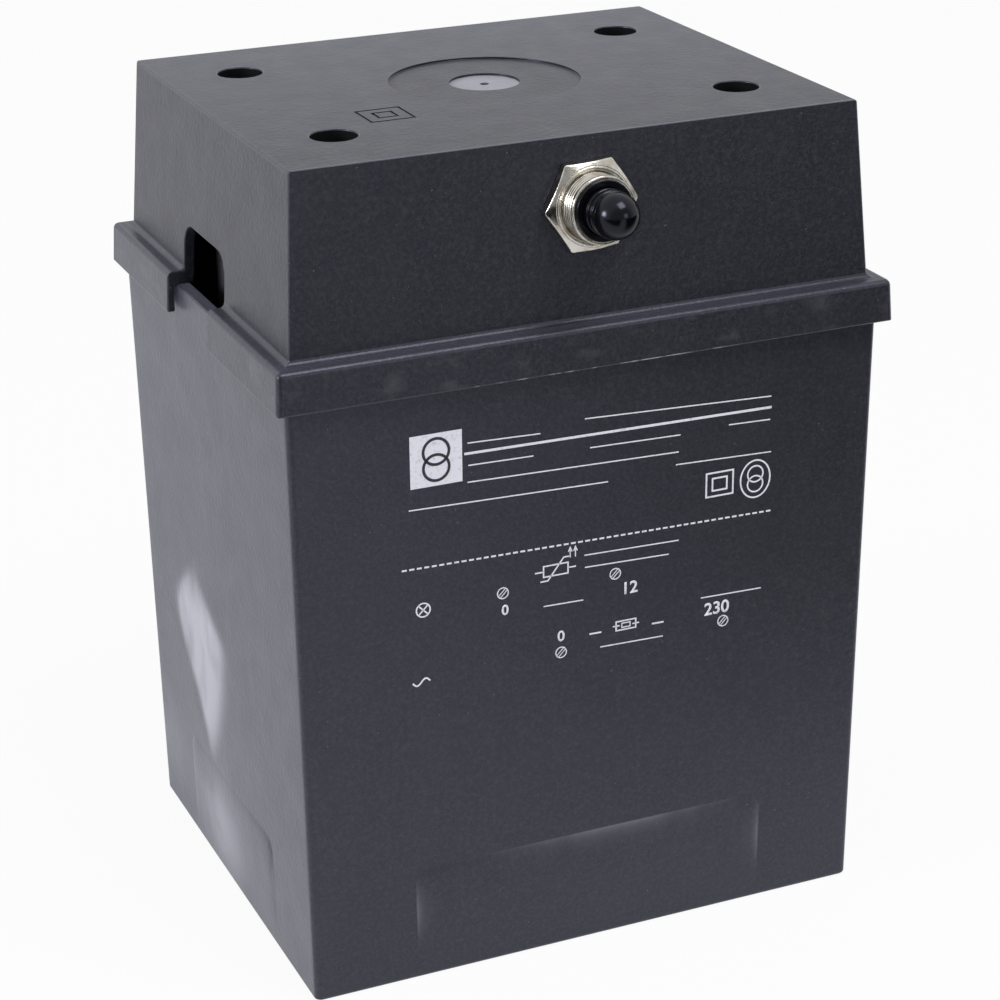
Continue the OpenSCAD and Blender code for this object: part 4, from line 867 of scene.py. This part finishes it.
# Nut: a pressed hexagon, plated like the neck, with its outer corners turned down to a chamfer.
# It is screwed up against the cover's wall.
NUT_AF, NUT_T, NUT_TURN, NUT_BORE = 14.7, 2.8, np.radians(3.0), 5.8
CORNER_SHARP, MEETING_SHARP, INNER = 70, 30, 5
flats = np.arange(6) * np.pi / 3 + np.pi / 6 + NUT_TURN
near_corners = flats[:, None] + np.pi / 6 + np.linspace(-0.06, 0.06, 9)
angle = np.sort(np.concatenate([full_turn(96), near_corners.ravel() % (2 * np.pi)]))[None]

# Its radius follows the flats, NUT_AF / 2 over the log of the sum of exp(k cos(angle - flat)) / k,
# and the turned section, whichever is less, with a soft meeting: -log(exp(-k a) + exp(-k b)) / k.
hexagon = NUT_AF / 2 * CORNER_SHARP / np.log(
    np.exp(CORNER_SHARP * np.cos(angle - flats[:, None])).sum(0))[None]
rise = np.linspace(0, 1, 5)[1:-1]
chamfer = np.linspace(0, 1, 14)
section = np.array([[0, NUT_BORE], [0, 7.1], [0.06, 7.2], *[[0.06 + s * 1.5, 9.2] for s in rise],
                    *[[1.72 + s, 8.5 - 1.75 * s] for s in chamfer],
                    [2.68, 6.70], [2.68, 6.62], [2.78, 6.56], [NUT_T, 6.5], [NUT_T, 6.3],
                    [NUT_T, 6.05], [2.77, 5.93], [2.6, NUT_BORE], [1.4, NUT_BORE]])
radius = INNER - np.log(np.exp(-MEETING_SHARP * (section[:, 1:] - INNER))
                        + np.exp(-MEETING_SHARP * (hexagon - INNER))) / MEETING_SHARP
nut = about_breaker("nut_hexagon", section[:, :1], radius, angle)
fit(nut, nickel, "hood", "breaker_nut")

# Bush and button: glossy black mouldings. The bush lines the neck and laps its end; the button
# is a domed plunger with two fine grooves, a stop flange and a stem down to the blade.
BUSH_IN, BUSH_OUT, BUSH_R, BUSH_BORE, LIP = -4.3457, 7.0, 4.45, 4.05, 5.1
gloss_black = finish("button_gloss", (0.002, 0.002, 0.003), 0.16, specular=0.3)
polish(gloss_black, mottle(gloss_black, 200, 2.0), 0.13, 0.22)
tint(gloss_black, mottle(gloss_black, 900, 2.0, low=0.6, high=0.9), (0.004, 0.004, 0.005))


def turned(name, corners, radii):
    """A turned part about the breaker's axis. corners are (out, radius) places of its section,
    and radii round them off: a corner P between its neighbours gives way to the curve
    (1 - t)^2 A + 2 t (1 - t) P + t^2 B, where A and B lie one radius from P along its sides."""
    p = np.array(corners, float)
    before, after = unit(np.roll(p, 1, 0) - p), unit(np.roll(p, -1, 0) - p)
    r = np.array(radii, float)[:, None]
    a, b = p + r * before, p + r * after
    t = np.linspace(0, 1, 5)[None, :, None]
    curve = (1 - t) ** 2 * a[:, None] + 2 * t * (1 - t) * p[:, None] + t ** 2 * b[:, None]
    ease = np.concatenate([(a + 0.5 * r * before)[:, None], curve,
                           (b + 0.5 * r * after)[:, None]], 1).reshape(-1, 2)
    return about_breaker(name, ease[:, :1], ease[:, 1:], full_turn(64)[None])


bush = turned("bush_moulded", [(BUSH_IN, BUSH_R), (NECK_OUT, BUSH_R), (NECK_OUT, LIP),
                               (BUSH_OUT, LIP), (BUSH_OUT, BUSH_BORE), (BUSH_IN, BUSH_BORE)],
              [0.05, 0.02, 0.02, 0.15, 0.12, 0.05])
fit(bush, gloss_black, "hood", "neck_bush")

BUTTON_R, DOME_OUT, GROOVES, STEM_R, STOP_R = 3.95, 10.85, (8.0, 9.5), 1.2, 5.07
STEM_END, STOP_BACK, STOP_FACE = -17.9957, -7.9957, -6.9957
dome = np.linspace(0, np.pi / 2, 24)[1:]
section = np.array([[STEM_END, 0], [STEM_END, 1.0], [-17.9, 1.15], [-17.7, STEM_R],
                    [-8.1, STEM_R], [STOP_BACK, 1.3], [STOP_BACK, 4.9], [-7.9, STOP_R],
                    [-7.1, STOP_R], [STOP_FACE, 4.95], [STOP_FACE, 4.0], [-6.9, BUTTON_R],
                    [7.8, BUTTON_R], [7.92, BUTTON_R],
                    *[[groove + out, BUTTON_R - deep] for groove in GROOVES
                      for out, deep in ((0, 0.05), (0.05, 0.22), (0.25, 0.25), (0.45, 0.22),
                                        (0.5, 0.05), (0.56, 0), (0.7, 0), (1.3, 0), (1.42, 0))],
                    [DOME_OUT, BUTTON_R],
                    *np.column_stack([DOME_OUT + BUTTON_R * np.sin(dome), BUTTON_R * np.cos(dome)])])
button = about_breaker("button_domed", section[:, :1], section[:, 1:], around, closed_u=False)
fit(button, gloss_black, "button", "reset_button")

# Print: the wiring plan, printed on the tub's front wall in one thin coat of pale grey ink. It
# holds circuit symbols, plain numbers and bare rules to write on.
INK_T, INK_GAP, LINE, FINE = 0.03, 0.01, 0.32, 0.26
PRINT_AT = np.array([-0.35, 0.3])
BADGE_X, BADGE_Z, BADGE = -28.35, 98.45, 9.3
FIGURE_SHARE, DASH, DASHED = 0.72, 0.9, 70.0


def ribbon(path, width=LINE, closed=False):
    """A flat strip along (x, z) places: at each, its two edges stand half the width away along
    (n1 + n2) / (1 + n1 . n2), where n1 and n2 are square to the strip before and after it."""
    path = np.array(path, float)
    way = unit(np.roll(path, -1, 0) - path if closed else np.diff(path, axis=0))
    side = np.column_stack([-way[:, 1], way[:, 0]])
    first, last = (np.roll(side, 1, 0), side) if closed else (
        np.vstack([side[:1], side]), np.vstack([side, side[-1:]]))
    offset = (first + last) / (1 + (first * last).sum(1, keepdims=True)) * width / 2
    strip = np.stack([path + offset, path - offset], 1)
    return np.concatenate([strip, strip[:1]]) if closed else strip


def ring(x, z, radius, width):
    """A strip along a circle, or along an ellipse where radius holds its two half widths."""
    turn = full_turn(40)
    return ribbon(np.array([x, z]) + radius * np.column_stack([np.cos(turn), np.sin(turn)]),
                  width, True)


def box(x, z, half_x, half_z, width=LINE):
    """A strip round an upright rectangle about a middle."""
    return ribbon([(x - half_x, z - half_z), (x + half_x, z - half_z),
                   (x + half_x, z + half_z), (x - half_x, z + half_z)], width, True)


def slotted_screw(x, z):
    """A screw seen from above: a ring with two lines across it at a slant."""
    middle, along, across = np.array([[x, z], [0.70, 0.72], [-0.14, 0.14]])
    ends = middle + np.array([-0.85, 0.85])[:, None] * along
    return [ring(x, z, 1.0, 0.2), *[ribbon(ends + s * across, 0.16) for s in (-1.2, 1.2)]]


def two_rings(x, z, radius, width):
    """The symbol of a transformer: two rings, one above the other, that overlap."""
    return [ring(x, z + s * 0.62 * radius, radius, width) for s in (-1, 1)]


def on_wall(flat, proud=0.0):
    """Places in metres for (x, z) places on the front wall, which leans out by LEAN over the
    height RIM_Z."""
    x, z = (flat + PRINT_AT).T
    return np.column_stack([x, -(TUB_HALF[1] + LEAN * z / RIM_Z) - INK_GAP - proud, z]) * MM


def inked(name, mesh, ink):
    """A flat mesh on the wall as a coat of ink: its faces are turned to look out of the wall, and
    it is given its thickness."""
    outward = bmesh.new()
    outward.from_mesh(mesh)
    outward.normal_update()
    bmesh.ops.reverse_faces(outward, faces=[f for f in outward.faces if f.normal.y > 0])
    outward.to_mesh(mesh)
    outward.free()
    mesh.materials.clear()
    mesh.materials.append(ink)
    thing = placed(name, mesh)
    coat = thing.modifiers.new("coat", "SOLIDIFY")
    coat.thickness, coat.offset = INK_T * MM, 1.0
    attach(thing, "tub")


def printed(name, strips, ink, proud=0.0):
    """Strips laid on the front wall as one mesh: quads between the two edges of each strip."""
    counts = np.array([len(s) for s in strips])
    start = np.concatenate([[0], np.cumsum(2 * counts)[:-1]])
    quads = np.concatenate([first + 2 * np.arange(n - 1)[:, None] + [0, 2, 3, 1]
                            for first, n in zip(start, counts)])
    mesh = bpy.data.meshes.new(name)
    flat = np.concatenate([s.reshape(-1, 2) for s in strips])
    mesh.from_pydata(on_wall(flat, proud).tolist(), [], quads.tolist())
    inked(name, mesh, ink)


ink = finish("pale_ink", (0.78, 0.78, 0.86), 0.5)
tint(ink, mottle(ink, 1500, 3.0, low=0.55, high=0.8), (0.5, 0.51, 0.54))
dark_ink = finish("dark_ink", (0.02, 0.02, 0.024), 0.5)
tint(dark_ink, mottle(dark_ink, 1500, 3.0), (0.03, 0.03, 0.034))

# A solid square with a long line beside it, the rules, a dashed line and the screws.
rules = [((-22.7, 100.4), (-9.5, 99.9)), ((-1.3, 101.2), (34.3, 99.6)),
         ((-22.6, 96.4), (-10.8, 96.1)), ((-0.3, 95.8), (16.8, 95.3)), ((26.1, 95.6), (34.2, 95.3)),
         ((-22.8, 93.4), (16.5, 92.2)), ((-33.4, 90.1), (3.1, 89.0)), ((16.0, 89.9), (34.6, 89.2)),
         ((-1.3, 76.1), (16.8, 75.6)), ((-1.2, 73.8), (14.9, 73.3)), ((-9.0, 67.9), (-1.5, 67.7)),
         ((21.4, 63.6), (33.4, 63.3)), ((1.8, 58.0), (14.0, 57.7))]
strips = [ribbon([(BADGE_X, BADGE_Z - BADGE / 2), (BADGE_X, BADGE_Z + BADGE / 2)], BADGE),
          ribbon([(-23.3, 98.55), (34.4, 97.55)], 0.45), *[ribbon(rule, 0.22) for rule in rules]]
start, end = np.array([[-34.9, 79.45], [35.2, 78.0]])
way = unit(end - start)
strips += [ribbon([start + s * way, start + (s + DASH) * way])
           for s in np.arange(0, DASHED, DASH * 1.5)]
for x, z in ((-16.6, 71.9), (4.6, 71.5), (-5.7, 58.5), (25.9, 58.3)):
    strips += slotted_screw(x, z)

# The symbols of double insulation and of a safety transformer.
strips += [box(24.6, 84.9, 2.6, 2.2), box(24.6, 84.9, 1.4, 1.15),
           *two_rings(31.6, 84.6, 1.5, 0.28), ring(31.6, 84.6, np.array([2.9, 3.5]), 0.3)]

# A fuse between two lines, and a resistor that cuts off when it is hot, with its two arrows.
strips += [box(6.75, 61.35, 1.9, 0.85, FINE), box(6.75, 61.35, 0.8, 0.4, 0.2),
           *[ribbon(ends, FINE) for ends in (((4.2, 61.4), (5.5, 61.4)), ((8.0, 61.3), (9.3, 61.3)))],
           ribbon([(-0.3, 60.9), (2.0, 60.85)]), ribbon([(11.8, 60.5), (14.1, 60.45)]),
           box(-6.7, 74.4, 2.3, 1.0, FINE), ribbon([(-10.6, 74.4), (-9.0, 74.4)], FINE),
           ribbon([(-4.4, 74.4), (-2.9, 74.4)], FINE),
           ribbon([(-9.6, 72.6), (-8.2, 72.6), (-5.2, 76.5), (-4.2, 76.5)], FINE)]
for x in (-4.0, -3.0):
    strips += [ribbon([(x, 76.2), (x, 78.0)], 0.2),
               ribbon([(x - 0.35, 77.3), (x, 78.1), (x + 0.35, 77.3)], 0.2)]

# A lamp, and a wave for the mains.
LAMP_X, LAMP_Z, LAMP_R, CROSS = -31.2, 71.6, 1.25, 0.875
wave_x = np.linspace(-1.6, 1.6, 24)
strips += [ring(LAMP_X, LAMP_Z, LAMP_R, FINE),
           *[ribbon([(LAMP_X - s * CROSS, LAMP_Z - CROSS), (LAMP_X + s * CROSS, LAMP_Z + CROSS)],
                    FINE) for s in (-1, 1)],
           ribbon(np.column_stack([-31.8 + wave_x, 58.2 + 0.6 * np.sin(wave_x * np.pi / 1.6)]), 0.3)]
printed("front_print", strips, ink)
printed("square_symbol", two_rings(BADGE_X, BADGE_Z, 2.3, 0.5), dark_ink, 0.04)

for text, x, z, height in (("0", -16.2, 67.8, 1.9), ("12", 7.4, 67.3, 2.3),
                           ("0", -5.7, 60.7, 2.0), ("230", 24.6, 60.0, 2.4)):
    curve = bpy.data.curves.new("numeral", "FONT")
    curve.body, curve.align_x, curve.offset = text, "CENTER", 0.02
    shape = bpy.data.objects.new("numeral", curve)
    mesh = bpy.data.meshes.new_from_object(shape)
    bpy.data.objects.remove(shape)
    flat = spots(mesh.vertices)[:, :2] * MM * height / FIGURE_SHARE
    mesh.vertices.foreach_set("co", on_wall(flat + (x, z)).astype(np.float32).ravel())
    inked(f"numeral_{text}_{round(z)}", mesh, ink)
